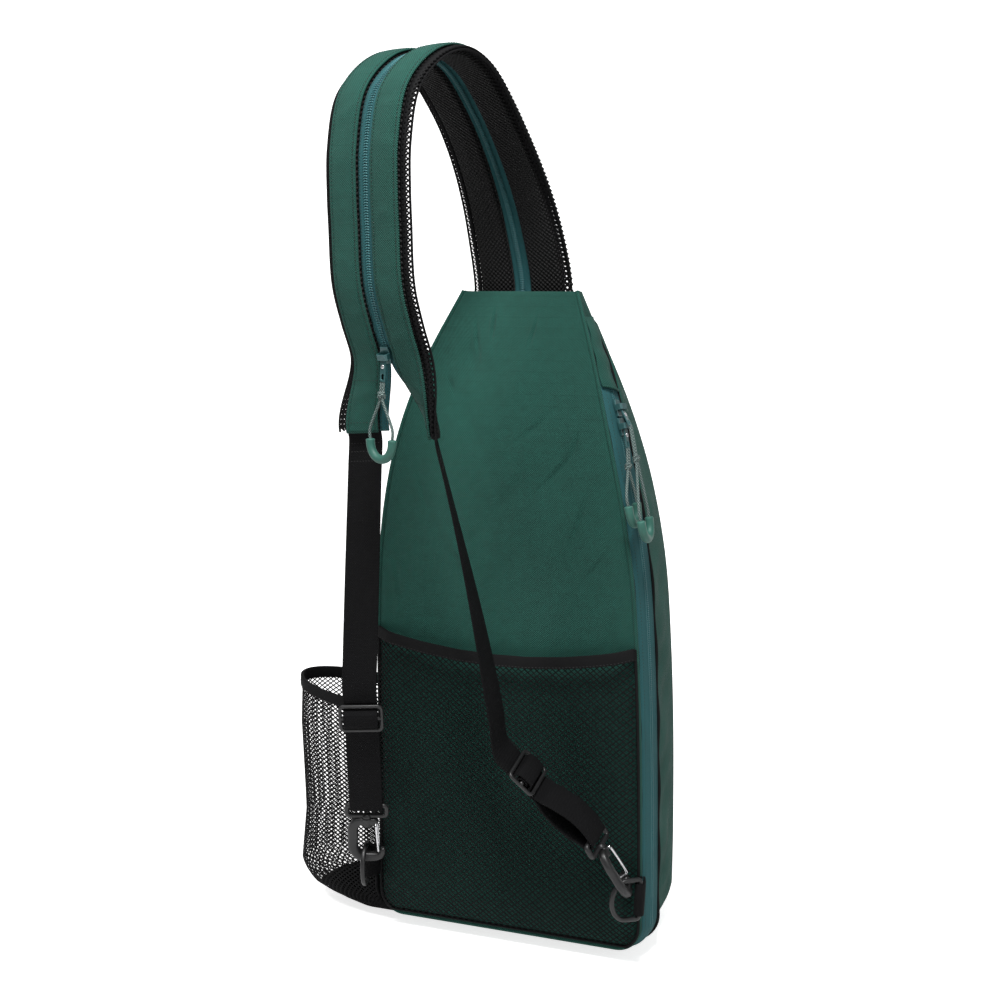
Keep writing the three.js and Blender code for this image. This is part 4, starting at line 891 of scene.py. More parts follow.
def thicken(shape, grid, wall, inward):
    """A cloth wall: the grid, and the grid moved along its normals to the side that inward points to."""
    n = normals(grid)
    n = n if (n * inward).sum() > 0 else -n
    shape.wall(grid, grid + n * wall)


def panel_grid(columns, z, inset, depth_at):
    """A panel's points: x is a share of the half width, y is depth_at(share, z)."""
    share = np.linspace(-1, 1, columns)[None, :]
    z = z[:, None]
    x = share * half_at(z, inset)
    return np.stack(np.broadcast_arrays(x, depth_at(share, z), z), -1)


def back_panel():
    """y = back + folds + creases, rolled in by the square of the last share of the half width."""
    def depth_at(share, z):
        roll = 1.3 * np.clip((np.abs(share) - 0.95) / 0.05, 0, 1) ** 2
        return back_at(z) + fold_at(share, z) + crease_at(share, z) + roll

    shape = Shape()
    grid = panel_grid(150, levels(0, B.height, 12, 230), 0, depth_at)
    inner = grid + (0, B.back_wall - 1, 0)
    shape.wall(grid, inner)
    shape.make("back_panel_cloth", "cloth", replaces=("back_panel",), fix=True)


def front_panel():
    """y = front + dome·(1 - share²)·rise, with soft vertical drags."""
    inset = B.front_edge + 2 + 2 * B.seam_gap

    def depth_at(share, z):
        rise = ease((z - inset) / (B.height * 0.15)) * ease((B.height - z) / (B.height * 0.3))
        drag = 0.7 * np.sin(share * 7 + z * 0.011) * (1 - share**4) * rise
        return front_at(z) + B.dome * (1 - share**2) * rise + drag - crease_at(share * 0.9, z)

    shape = Shape()
    grid = panel_grid(80, levels(inset, B.height, 6, 130), inset, depth_at)
    shape.wall(grid, grid - (0, B.cloth_wall, 0))
    shape.make("front_panel_cloth", "cloth", replaces=("front_panel",), fix=True)


def gusset_folds(place, side, y):
    """Drags across the side walls: slanted sine ridges that fade towards the seams."""
    z = place[:, 2][:, None]
    start, end = seam_at(z), front_at(z) - B.front_edge
    share = np.clip((y - start) / np.maximum(1, end - start), 0, 1)
    fade = np.sin(np.pi * share)
    wave = 0.8 * np.sin(z * 0.075 + y * 0.06) + 0.5 * np.sin(z * 0.15 - y * 0.09 + 1.3)
    deep = 2.2 * np.exp(-(((z - 420) / 26) ** 2)) * np.sin(share * 5.5)
    return (wave * 1.5 * fade + deep * fade) * (np.abs(side)[:, None] + 0.25)


def gusset():
    """Each outline place moved out by the bulge and folds over the depth, then rolled to the front seam."""
    place, outward_way, side = outline(B.height)
    z = place[:, 2]
    zipped = (side == 1) & (z <= B.height - B.zip_drop)
    front = front_at(z)
    start = seam_at(z) + np.where(zipped, band_at(z), 0)
    roll = np.minimum(B.front_edge, (front - start) * 0.4)
    y = start[:, None] + np.linspace(0, 1, 34)[None] * (front - roll - start)[:, None]
    out = bulge_at(z[:, None], y) + gusset_folds(place, side, y)
    wide = place[:, None] + outward_way[:, None] * out[..., None]
    wide[..., 1] = y
    angle = np.linspace(0, np.pi / 2, 8)[1:][None]
    turn = place[:, None] - outward_way[:, None] * (B.front_edge * (1 - np.cos(angle)))[..., None]
    turn[..., 1] = (front - roll)[:, None] + roll[:, None] * np.sin(angle)
    flat = place - outward_way * (B.front_edge + 2)
    flat[:, 1] = front
    grid = np.concatenate([wide, turn, flat[:, None]], 1)
    shape = Shape()
    thicken(shape, grid, B.cloth_wall, -outward_way[:, None])
    shape.make("gusset_cloth", "cloth", replaces=("gusset",), fix=True)


def zip_line(share, lift=0.0):
    """A line down the side zip's band at a share of its width, lifted off it."""
    place, way, side = outline(B.height)
    z = place[:, 2]
    keep = (side == 1) & (z <= B.height - B.zip_drop)
    place, way, z = place[keep], way[keep], z[keep]
    y = seam_at(z) + (band_at(z) - 2.5 * B.seam_gap) * share
    p = place + way * (bulge_at(z, y) + lift)[:, None]
    p[:, 1] = y
    return p, way


def side_zip():
    """Two tapes, the coil's two rows of stitches between them, and the seams on both sides."""
    half = B.seam_gap / (2 * B.zip_tape)
    for name, low, high in (("back", 0, 0.5 - half), ("front", 0.5 + half, 1)):
        rows = [zip_line(k)[0] + zip_line(k)[1] * 0.25 * math.sin(math.pi * (k - low) / (high - low))
                for k in np.linspace(low, high, 7)]
        grid = np.stack(rows, 1)
        shape = Shape()
        thicken(shape, grid, ZIP_WALL, -zip_line(0.5)[1][:, None])
        shape.make(f"side_zip_{name}", "tape", replaces=(f"side_zip_tape_{name}",), fix=True)
    coil = Shape()
    for share, turn in ((0.5 - 0.055, 0.5), (0.5 + 0.055, -0.5)):
        line, way = zip_line(share, 0.15)
        across = np.cross(path_frames(line, way)[0], way) + path_frames(line, way)[0] * turn
        stitches(coil, line, way, unit(across), 1.5, width=1.9, gap=0.25, rise=0.5, sideways=True)
    coil.make("side_zip_coil_rows", "coil")
    thread = Shape()
    for share in (0.16, 0.84):
        line, way = zip_line(share, 0.1)
        stitches(thread, line, way, np.cross(way, path_frames(line, way)[0]), 2.6)
    thread.make("side_zip_stitches", "thread")
    piping = Shape()
    for share, r in ((-0.03, 1.1), (1.03, 1.3)):
        line, way = zip_line(share, 0.2)
        line = line + way * (0.5 * np.sin(line[:, 2:3] * 0.12))
        rod(piping, line, circle(r, 8, 0.8), ref=way)
    piping.make("side_zip_seams", "bind")


def zip_garage():
    """A cloth flap over the zip's top: sewn to the back seam, its lower edge folded and free."""
    top = B.height - B.zip_drop
    z = np.linspace(top + 2, top - 46, 40)
    share = np.linspace(-0.03, 1.12, 24)
    rows = []
    for at in z:
        y = seam_at(at) + (band_at(at) - 2.5 * B.seam_gap) * share
        step = (at - z[-1]) / (z[0] - z[-1])
        swell = 1.3 * np.sin(np.pi * np.clip(share, 0, 1)) ** 2 * (0.5 + 0.5 * (1 - step))
        lift = 2.1 + swell + 0.5 * np.sin(at * 0.35)
        drop = 5 * (1 - step) * share
        rows.append(np.stack([half_at(at) + bulge_at(at, y) + lift, y, at - drop], 1))
    grid = np.array(rows)
    shape = Shape()
    thicken(shape, grid, 0.8, np.array([-1.0, 0, 0]))
    shape.make("zip_garage", "cloth", fix=True)
    hem = Shape()
    rod(hem, grid[-1] + (0.2, 0, 0.4), circle(0.9, 8), ref=(1, 0, 0))
    hem.make("zip_garage_fold", "cloth")


def seams():
    """Corded seams round the back and the front panel: a thin tube along each outline."""
    place, way, _ = outline(B.height)
    z = place[:, 2]
    back = place + way * 0.4
    back[:, 1] = back_at(z) + 1.0
    shape = Shape()
    rod(shape, back, circle(1.5, 10), ref=(0, 1, 0))
    front = place - way * (B.front_edge + 1.6)
    front[:, 1] = front_at(z) - 0.2
    rod(shape, front, circle(1.2, 8), ref=(0, 1, 0))
    shape.make("body_seams", "cloth")


def mouth_cover():
    """The top of the bag closed round the strap's root: a small pleated collar between the panels."""
    z = B.height - 1.5
    low, high = float(back_at(z)) + 3, float(front_at(z)) - 2
    half = float(half_at(z)) - 3
    u = np.linspace(-1, 1, 90)[None, :]
    v = np.linspace(0, 1, 16)[:, None]
    y = low + (high - low) * v
    dip = 2.5 * np.sin(np.pi * v) * (1 + 0.25 * np.sin(u * 31 + v * 2))
    grid = np.stack(np.broadcast_arrays(u * half, y, z - 3 - dip), -1)
    shape = Shape()
    shape.wall(grid, grid - (0, 0, 1))
    shape.make("top_collar", "cloth", fix=True)


# Strap pieces


def half_line(name, share, a, h):
    """A line along one half of the strap at a from the zip's edge and h over its underside."""
    side = HALF_ENDS[name][0]
    place, along, across, out, _ = half_frame(share, *HALF_ENDS[name])
    return place + across * (side * a) + out * h, along, across * side, out


def strap_levels():
    """The pad's top, the face's low side and the half widths that the strap's sections share."""
    top = S.thickness - S.face_wall - 2 * LAYER_GAP
    return top, top + LAYER_GAP, S.width / 2, B.zip_tape / 2 + B.seam_gap / 2


def strap_half(name):
    """One half of the strap: pad, cloth face, mesh edge with its lip, stitches and zip tape."""
    top, low, half, tape = strap_levels()
    side = HALF_ENDS[name][0]
    share = np.linspace(0, 1, 190)
    place, along, across, out, _ = half_frame(share, *HALF_ENDS[name])
    rim = half - S.border
    section = np.array([
        (tape + 0.4, 1.6), (tape + 1.2, 0.5), (tape + 3, 0), ((tape + rim) / 2, -0.3), (rim - 3, 0),
        (rim - 1, 0.5), (rim, 1.8), (rim + 0.4, top * 0.5), (rim, top - 1.6), (rim - 1, top - 0.5),
        (rim - 3, top), (tape + 3, top), (tape + 0.6, top - 0.5), (tape + 0.4, top - 1.6),
    ]) * (side, 1)
    shape = Shape()
    shape.tube(carried(place, across, out, section))
    pad = shape.make(f"strap_padding_{name}", "airmesh",
                     replaces=(f"strap_pad_{name}",), fix=True)

    # cloth face: crowned between its two stitched edges, with slanted creases where the strap bends
    u = np.linspace(0, 1, 30)[None, :]
    s = share[:, None]
    a = tape + 0.5 + (rim - tape - 1.3) * u
    crown = 0.75 * np.sin(np.pi * u) ** 0.6
    edge = 0.5 * (np.exp(-((u - 0.10) / 0.035) ** 2) + np.exp(-((u - 0.88) / 0.035) ** 2))
    crease = sum(d * np.exp(-(((s - c) / 0.007 + (u - 0.5) * t) ** 2)) for c, t, d in STRAP_CREASES[name])
    h = low + S.face_wall + crown - edge + crease * np.sin(np.pi * u)
    base = place[:, None] + across[:, None] * (side * a)[..., None]
    grid = base + out[:, None] * np.broadcast_to(h, crease.shape)[..., None]
    face = Shape()
    face.wall(grid, base + out[:, None] * (low + 0.1))
    face.make(f"strap_cloth_{name}", "cloth", replaces=(f"strap_face_{name}",), fix=True)

    # the see-through mesh edge, its folded lip, and the stitch rows on the face
    run = path_length(half_line(name, share, rim, top / 2)[0])
    edge_net = Shape()

    def border(u, v):
        p, _, x, o = half_line(name, np.clip(v / run, 0, 1), 0, 0)
        bow = 1.2 * (1 - ((u - rim) / S.border - 0.5) ** 2 * 4)
        return p + x * u[:, None] + o * (top * 0.45 + bow)[:, None]

    net(edge_net, with_normals(border), (rim - 2.2, half + 1.2), (0, run), (3.6, 3.4), 0.44, 2.0)
    edge_net.make(f"strap_mesh_edge_{name}", "net")
    lip = Shape()
    line, _, x, _ = half_line(name, share, half - 0.3, top * 0.45)
    rod(lip, line, circle(0.9, 8, 0.8), ref=x)
    line, _, x, _ = half_line(name, share, rim + 0.2, top * 0.7)
    rod(lip, line, circle(0.8, 8), ref=x)
    lip.make(f"strap_lip_{name}", "bind")
    thread = Shape()
    for at in (tape + 2.4, rim - 3.0):
        line, _, x, o = half_line(name, share, at, low + S.face_wall + 0.35)
        stitches(thread, line, o, x, S.stitch)
    for end in STRAP_BARS[name]:
        a = np.linspace(tape + 2, rim - 1.5, 14)
        one = [half_line(name, end, k, low + S.face_wall + 0.75) for k in a]
        line = np.concatenate([p[0] for p in one])
        stitches(thread, line, one[0][3][0], one[0][1][0], 2.2)
    thread.make(f"strap_stitches_{name}", "thread")

    # zip tape with its own two rows of stitches
    level = tape_level()
    u = np.linspace(0.12, tape, 8)
    waves = [level + ZIP_WALL + 0.15 * math.sin(3 * k / tape) for k in u]
    band = np.stack([half_line(name, share, k, high)[0] for k, high in zip(u, waves)], 1)
    zips = Shape()
    zips.wall(band, band - out[:, None] * ZIP_WALL)
    zips.make(f"strap_zip_{name}", "tape", replaces=(f"strap_zip_tape_{name}",), fix=True)
    rows = Shape()
    for at in (1.5, tape - 1.4):
        line, _, x, o = half_line(name, share, at, level + ZIP_WALL + 0.1)
        stitches(rows, line, o, x, 2.0, width=0.6)
    rows.make(f"strap_zip_stitches_{name}", "thread")


STRAP_CREASES = {
    # share of the length, slant, height in millimetres
    "left": [(0.30, 2.2, 0.5), (0.42, -1.6, 0.6), (0.50, 2.0, -0.5), (0.57, -2.4, 0.7), (0.63, 1.8, 0.5),
             (0.68, -1.2, -0.4), (0.76, 2.6, 0.5), (0.83, -2.0, 0.5), (0.90, 1.5, 0.7), (0.945, -1.8, 0.7)],
    "right": [(0.28, -2.0, 0.5), (0.40, 1.8, 0.5), (0.48, -2.2, 0.6), (0.55, 1.6, -0.5), (0.61, -2.0, 0.6),
              (0.70, 2.2, 0.5), (0.78, -1.5, -0.4), (0.86, 2.0, 0.6), (0.93, -2.6, 0.8)],
}
STRAP_BARS = {"left": (0.925, 0.985), "right": (0.955, 0.985)}


def strap_coil():
    """The coil under the two tapes: close-set teeth lying across their middle line."""
    share = np.linspace(0.002, S.slit, 200)
    place, along, across, out = strap_frame(share)
    line = place + out * (tape_level() - LAYER_GAP - COIL[1] * 0.5 - S.thickness / 2)
    shape = Shape()
    stitches(shape, line, out, across, 1.35, width=COIL[0], gap=0.28, rise=COIL[1] / 2, sideways=True)
    shape.make("strap_coil", "coil", replaces=("strap_zip_coil",))
    line = place + out * (tape_level() + ZIP_WALL + 0.2 - S.thickness / 2)
    shape = Shape()
    for side in (-1, 1):
        stitches(shape, line + across * side * 1.05, out, unit(across + along * 0.45 * side), 1.7, width=2.3,
                 gap=0.25, rise=0.75, sideways=True)
    shape.make("strap_coil_rows", "coil")


def with_normals(place):
    """The function's points with unit normals from its differences a tenth of a millimetre away."""
    def both(u, v):
        p = place(u, v)
        return p, unit(np.cross(place(u + 0.1, v) - p, place(u, v + 0.1) - p))

    return both


# Webbings, hooks and rings

HOOK = dict(cavity_w=13, cavity_h=26, spine=8, foot=7.5, collar=6.5, post=2.1, gap=0.35, eye_bar=4,
            eye_slot=5.5, eye_base=3)
RINGS = {
    # corner's side, aside, behind and rise of the ring's bar; ways of its bow and of the hook; the
    # tri-glide's place in shares of half width, reach and height; mouth, width and seam ways; how far
    # the band sags over the tri-glide and its two layers spread under it
    "left": dict(side=-1, aside=7.5, behind=8, rise=0.087, bow=(0.25, -0.96, 0.1), hang=(0.12, -0.26, 0.96),
                 glide=(-0.886, 0.346, 0.357), mouth=(0.93, 0.37, 0), across=(0.93, 0.37, 0),
                 seam=(5.4, 8.6, 0), sag=0, spread=0),
    "right": dict(side=1, aside=4, behind=13.5, rise=0.0975, bow=(-0.75, -0.66, 0.05),
                  hang=(-0.48, -0.2, 0.86), glide=(0.318, 0.265, 0.295), mouth=(-0.25, 0.93, 0.05),
                  across=(0, 0.9, 0.35), seam=(-2, 14.1, 0), sag=2, spread=5),
}
# down (shares of half the plate's height) and out (shares of the band's level): through the
# tri-glide, and the way back to its middle bar
GLIDE_WAY = [(-2.2, -0.4), (-1.35, -1), (-0.74, -1), (-0.58, 0.1), (-0.5, 1.5), (-0.3, 1.95),
             (0.3, 1.95), (0.5, 1.5), (0.58, 0.1), (0.74, -1), (1.35, -1)]
RETURN_WAY = [(1.35, -1.95), (0.74, -1.95), (0.36, -1.25), (0, -1), (-0.18, -1), (-0.31, -0.45),
              (-0.31, 0.45), (-0.18, 1), (0.18, 1), (0.31, 0.3)]


def rig_places(name):
    """Where each rigid piece of one lower run stands, worked out as the solids are."""
    r = RINGS[name]
    bar = np.array([r["side"] * (B.width / 2 + r["aside"]), -r["behind"], r["rise"] * B.height])
    glide = np.array([r["glide"][0] * B.width / 2, -r["glide"][1] * S.reach, r["glide"][2] * B.height])
    bow, up = unit(r["bow"]), unit(r["hang"])
    wide = unit(np.array([0, 0, 1]) - bow * bow[2])
    ring_side = R.webbing / 2 + B.seam_gap + R.ring_wire / 2
    round_ = ring_side * 0.8
    angle = math.radians(68)
    pull = bar + bow * (R.ring_depth - round_ * (1 - math.cos(angle))) + wide * ring_side * math.sin(angle)
    hook = squared(up, r["mouth"])
    centre = pull + up * (HOOK["cavity_h"] / 2 - R.ring_wire / 2 - 1.5) + hook[:, 0] * 2.2
    eye_level = (HOOK["cavity_h"] / 2 + HOOK["collar"] + HOOK["gap"] + HOOK["eye_base"] + HOOK["eye_slot"]
                 + HOOK["eye_bar"] / 2)
    eye = centre + up * eye_level
    return dict(r, bar=bar, glide_at=glide, bow=bow, wide=wide, ring_side=ring_side, ring_round=round_,
                hook=hook, centre=centre, eye=eye, eye_turn=squared(up, r["across"]),
                glide_turn=squared(glide - eye, r["across"]))


def webbing_frames(name, p):
    """Stations of the band: from the strap's end, through the tri-glide, round the eye and back."""
    _, along, side_way, out0, centre = half_frame([1.0], *HALF_ENDS[name])
    start_across = side_way[0]
    if name == "right" and np.dot(start_across, p["across"]) < 0:
        start_across = -start_across
    first = centre[0] + along[0] * LAYER_GAP - out0[0] * S.thickness * 0.1
    second = first + along[0] * 5
    down = unit(p["eye"] - p["glide_at"])
    turn = squared(-down, p["across"])
    across, out = turn[:, 0], -turn[:, 1]
    bar_way = p["eye_turn"][:, 0]
    half = R.glide_height / 2
    level = R.glide_wall / 2 + LAYER_GAP + R.webbing_wall / 2
    wrap = HOOK["eye_bar"] / 2 + 1.5 * LAYER_GAP + R.webbing_wall / 2
    places, wides = [first], [start_across]
    top = p["glide_at"] - down * 2.2 * half
    for i in range(9):
        k = i / 9
        q = second + (top - second) * k
        q = q + np.array([p["sag"], p["sag"] * 0.6, 0]) * math.sin(math.pi * k)
        places.append(q)
        wides.append(unit(start_across + (across - start_across) * float(ease(k))))
    for d, o in GLIDE_WAY:
        places.append(p["glide_at"] + down * d * half + out * o * level)
        wides.append(across)
    run = np.linalg.norm(p["eye"] - p["glide_at"])

    def belly(k, side):
        far = 1.35 * half + (run - 1.35 * half) * k
        low = -level if side > 0 else -1.95 * level
        h = low + (side * wrap - low) * float(ease(k)) + side * p["spread"] * math.sin(math.pi * k)
        places.append(p["glide_at"] + down * far + out * h)
        wides.append(across + (bar_way - across) * float(ease(k)))

    for i in (1, 2, 3):
        belly(i / 4, 1)
    low_way = unit(down - bar_way * np.dot(down, bar_way))
    face = unit(out - bar_way * np.dot(out, bar_way))
    for angle in np.linspace(0, np.pi, 7):
        places.append(p["eye"] + face * wrap * math.cos(angle) + low_way * wrap * math.sin(angle))
        wides.append(bar_way)
    for i in (3, 2, 1):
        belly(i / 4, -1)
    for d, o in RETURN_WAY:
        places.append(p["glide_at"] + down * d * half + out * o * level)
        wides.append(across)
    return np.array(places), np.array(wides)


def webbing(name, p):
    """The band carried along its stations, with three rows of stitches at the strap's end."""
    places, wides = webbing_frames(name, p)
    count = 420
    path = smooth_path(places, count)
    wide = spread_along(places, wides, count)
    shape = Shape()
    rod(shape, path, box_ring(R.webbing, R.webbing_wall, 0.5, 3), ref=wide)
    shape.make(f"webbing_band_{name}", "web", replaces=(f"webbing_{name}",), fix=True)
    # rows of stitches, on both faces, where the band is sewn to the strap's end
    thread = Shape()
    for k in (0.02, 0.035, 0.05):
        i = int(k * count)
        across = unit(wide[i])
        along = unit(path[i + 1] - path[i - 1])
        out = np.cross(along, across)
        line = path[i] + across * np.linspace(-R.webbing * 0.44, R.webbing * 0.44, 12)[:, None]
        for side in (1, -1):
            row = line + out * side * R.webbing_wall / 2
            stitches(thread, row, out * side, along, 2.2, width=0.5, rise=0.2)
    thread.make(f"webbing_stitches_{name}", "dark_thread")


def stand(points, turn, at):
    """Points of a rigid piece's own frame, turned and moved to their place."""
    return np.asarray(points) @ turn.T + at


def tri_glide(name, p):
    """An outer frame swept round a rounded rectangle, with a bar across its middle."""
    w, h, bar = R.webbing + 8, R.glide_height, 2.8
    path = box_ring(w - bar, h - bar, 3, 6)
    path = np.stack([path[:, 0], 0 * path[:, 0], path[:, 1]], 1)
    shape = Shape()
    turn, at = p["glide_turn"], p["glide_at"]
    edge = circle(bar / 2, 12, R.glide_wall / bar, 3)[:, ::-1]
    rod(shape, stand(path, turn, at), edge, ref=turn[:, 1], closed=True)
    x = np.linspace(-w / 2 + 1.5, w / 2 - 1.5, 8)
    rod(shape, stand(np.stack([x, 0 * x, 0 * x], 1), turn, at), circle(bar / 2, 12, 0.8, 2.6), ref=turn[:, 2])
    shape.make(f"tri_glide_{name}", "plastic", replaces=(f"triglide_{name}",), fix=True)


def hook_body(name, p):
    """One C-shaped sweep: collar, spine, foot and lip, its width changing along the way."""
    left, low, high = -HOOK["cavity_w"] / 2, -HOOK["cavity_h"] / 2, HOOK["cavity_h"] / 2
    spine, foot, collar = HOOK["spine"], HOOK["foot"], HOOK["collar"]
    gate_x = HOOK["cavity_w"] / 2 + 0.6
    lip_x = HOOK["cavity_w"] / 2 + 2.2 + R.gate_wire + HOOK["gap"] + 1.9
    table = np.array([
        # x, z, width
        (gate_x + 1.4, high + collar / 2, collar - 0.4),
        (gate_x - 2, high + collar / 2, collar),
        (0, high + collar / 2, collar + 0.3),
        (left - 0.5, high + collar / 2 - 0.3, collar + 0.6),
        (left - spine / 2 - 0.2, high - 3.5, spine),
        (left - spine / 2 - 0.3, 3, spine),
        (left - spine / 2 - 0.2, low + 4, spine),
        (left + 0.4, low - foot / 2 + 1.0, foot + 0.6),
        (2.5, low - foot / 2 - 0.2, foot),
        (lip_x - 2.5, low - foot / 2 + 1.3, foot * 0.85),
        (lip_x, low + 2.0, 4.4),
        (lip_x + 0.1, low + 4.6, 3.4),
    ])
    flat = np.stack([table[:, 0], 0 * table[:, 0], table[:, 1]], 1)
    count = 90
    path = smooth_path(flat, count)
    width = spread_along(flat, table[:, 2:], count)[:, 0]
    tip = np.minimum(1, np.minimum(np.arange(count) + 0.6, count - np.arange(count) - 0.4) / 4.0)
    size = np.sqrt(1 - (1 - tip) ** 2)
    ring = circle(1.0, 20, 1.0, 3.0)
    section = np.stack([ring[None, :, 0] * (R.hook_wall / 2 * size)[:, None],
                        ring[None, :, 1] * (width / 2 * size)[:, None]], -1)
    shape = Shape()
    rod(shape, stand(path, p["hook"], p["centre"]), section, ref=p["hook"][:, 1])
    z = np.linspace(high - 0.4, high + collar + 0.2, 8)
    boss = np.stack([0 * z, 0 * z, z], 1)
    rod(shape, stand(boss, p["hook"], p["centre"]), circle(R.hook_wall / 2 + 0.7, 20), ref=p["hook"][:, 0])
    shape.make(f"hook_{name}", "plastic", replaces=(f"hook_body_{name}",), fix=True)


def hook_eye(name, p):
    """A rounded loop for the webbing, with the swivel's post and its riveted head."""
    bar, slot_h, base = HOOK["eye_bar"], HOOK["eye_slot"], HOOK["eye_base"]
    w, h = R.webbing + 9, base + slot_h + bar
    low = HOOK["cavity_h"] / 2 + HOOK["collar"] + HOOK["gap"]
    path = box_ring(w - 3.6, h - 3.4, 2.6, 6) + (0, low + h / 2)
    path = np.stack([path[:, 0], 0 * path[:, 0], path[:, 1]], 1)
    shape = Shape()
    turn, at = p["eye_turn"], p["centre"]
    rod(shape, stand(path, turn, at), circle(1.8, 14, 1.0, 2.6), ref=turn[:, 1], closed=True)
    # the post's radius by height: riveted head, neck through the collar, and the foot of the loop
    head = HOOK["cavity_h"] / 2
    z = np.linspace(low + base + 0.6, head - 1.6, 14)
    heights = [head - 1.6, head - 0.5, head - 0.35, low - 0.6, low + 1.0, low + base + 0.6]
    radius = np.interp(z, heights, [1.6, 3.2, 2.0, 2.0, 4.2, 2.4])
    rod(shape, stand(np.stack([0 * z, 0 * z, z], 1), turn, at), circle(1, 16)[None] * radius[:, None, None],
        ref=turn[:, 0])
    shape.make(f"swivel_eye_{name}", "plastic", replaces=(f"hook_eye_{name}",), fix=True)


def gate(name, p):
    """One bent wire whose two ends meet in the hook's axle hole."""
    x, z = HOOK["cavity_w"] / 2 + 0.6, HOOK["cavity_h"] / 2 + 2.4
    fx, fz = HOOK["cavity_w"] / 2 + 2.2, -HOOK["cavity_h"] / 2 + 3.4
    side, bend = R.hook_wall / 2 + R.gate_wire + HOOK["gap"], 1.4
    lean = unit(np.array([fx - x, 0, fz - z])) * bend
    loop = np.array([
        (x, 0.18, z), (x, side - bend, z), np.array((x, side - bend * 0.3, z)) + 0.3 * lean,
        np.array((x, side, z)) + lean, np.array((fx, side, fz)) - lean,
        np.array((fx, side - bend * 0.3, fz)) - 0.3 * lean, (fx, side - bend, fz),
    ])
    path = smooth_path(np.concatenate([loop, loop[::-1] * (1, -1, 1)]), 110)
    shape = Shape()
    ref = stand([[0, 0.3, 1]], p["hook"], 0)[0]
    rod(shape, stand(path, p["hook"], p["centre"]), circle(R.gate_wire, 10), ref=ref)
    shape.make(f"gate_wire_{name}", "wire", body=f"gate_{name}",
               replaces=(f"gate_{name}",), fix=True)


def d_ring(name, p):
    """A closed sweep: the straight bar, two short legs and half an ellipse."""
    side, far, r = p["ring_side"], R.ring_depth, p["ring_round"]
    angle = np.linspace(-np.pi / 2, np.pi / 2, 26)
    bow = np.stack([far - r + r * np.cos(angle), side * np.sin(angle)], 1)
    c = 2.2
    corner = np.linspace(np.pi / 2, np.pi, 5)
    top = np.stack([c + c * np.cos(corner), side - c + c * np.sin(corner)], 1)
    flat = np.concatenate([bow, top, top[::-1] * (1, -1)])
    path = np.stack([flat[:, 0], flat[:, 1], 0 * flat[:, 0]], 1)
    path = even_steps(np.concatenate([path, path[:1]]), 91)[:-1]
    turn = np.stack([p["bow"], p["wide"], np.cross(p["bow"], p["wide"])], 1)
    shape = Shape()
    wire = circle(R.ring_wire / 2, 14, 1.0, 2.4)
    rod(shape, stand(path, turn, p["bar"]), wire, ref=turn[:, 2], closed=True)
    shape.make(f"d_ring_{name}", "plastic", replaces=(f"dring_{name}",), fix=True)


def ring_tab(name, p):
    """Webbing from the corner seam, out round the ring's bar and back."""
    across = p["wide"]
    seam = np.array(p["seam"], float)
    run = -seam + across * np.dot(seam, across)
    far = np.linalg.norm(run)
    run = unit(run)
    out = np.cross(run, across)
    level = R.ring_wire / 2 + LAYER_GAP + TAB_WALL / 2
    start = p["bar"] - run * far
    angle = np.linspace(0, np.pi, 9)[:, None]
    points = np.concatenate([
        [start + out * TAB_WALL * 0.6, p["bar"] - run * level * 1.2 + out * level * 0.95],
        p["bar"] + out * level * np.cos(angle) + run * level * np.sin(angle),
        [p["bar"] - run * level * 1.2 - out * level * 0.95, start - out * TAB_WALL * 0.6],
    ])
    path = smooth_path(points, 60)
    shape = Shape()
    rod(shape, path, box_ring(R.webbing - 1, TAB_WALL, 0.5, 3), ref=across)
    shape.make(f"ring_tab_{name}", "web", replaces=(f"dring_tab_{name}",), fix=True)


# Pockets


def pocket_top(share):
    """The back pocket's top edge: its height less sag times (1 - share squared)."""
    return N.back_height - N.back_sag * (1 - share * share)


def pocket_point(share, z, level, lift):
    """A place on the back pocket, off the panel by a quarter sine of its distance from the sides."""
    side, low = np.clip((1 - np.abs(share)) / 0.16, 0, 1), np.clip(level / 0.12, 0, 1)
    off = B.seam_gap + N.back_gap * np.sin(np.pi / 2 * side) * (0.15 + 0.85 * low)
    drag = 0.5 * np.sin(share * 9 + z * 0.03) * np.sin(np.pi * np.clip(level, 0, 1)) * side
    y = back_at(z) + np.minimum(0, fold_at(share, z)) - off - NET_WALL - lift + drag
    return np.stack(np.broadcast_arrays(share * (half_at(z) - B.seam_gap), y, z), -1)


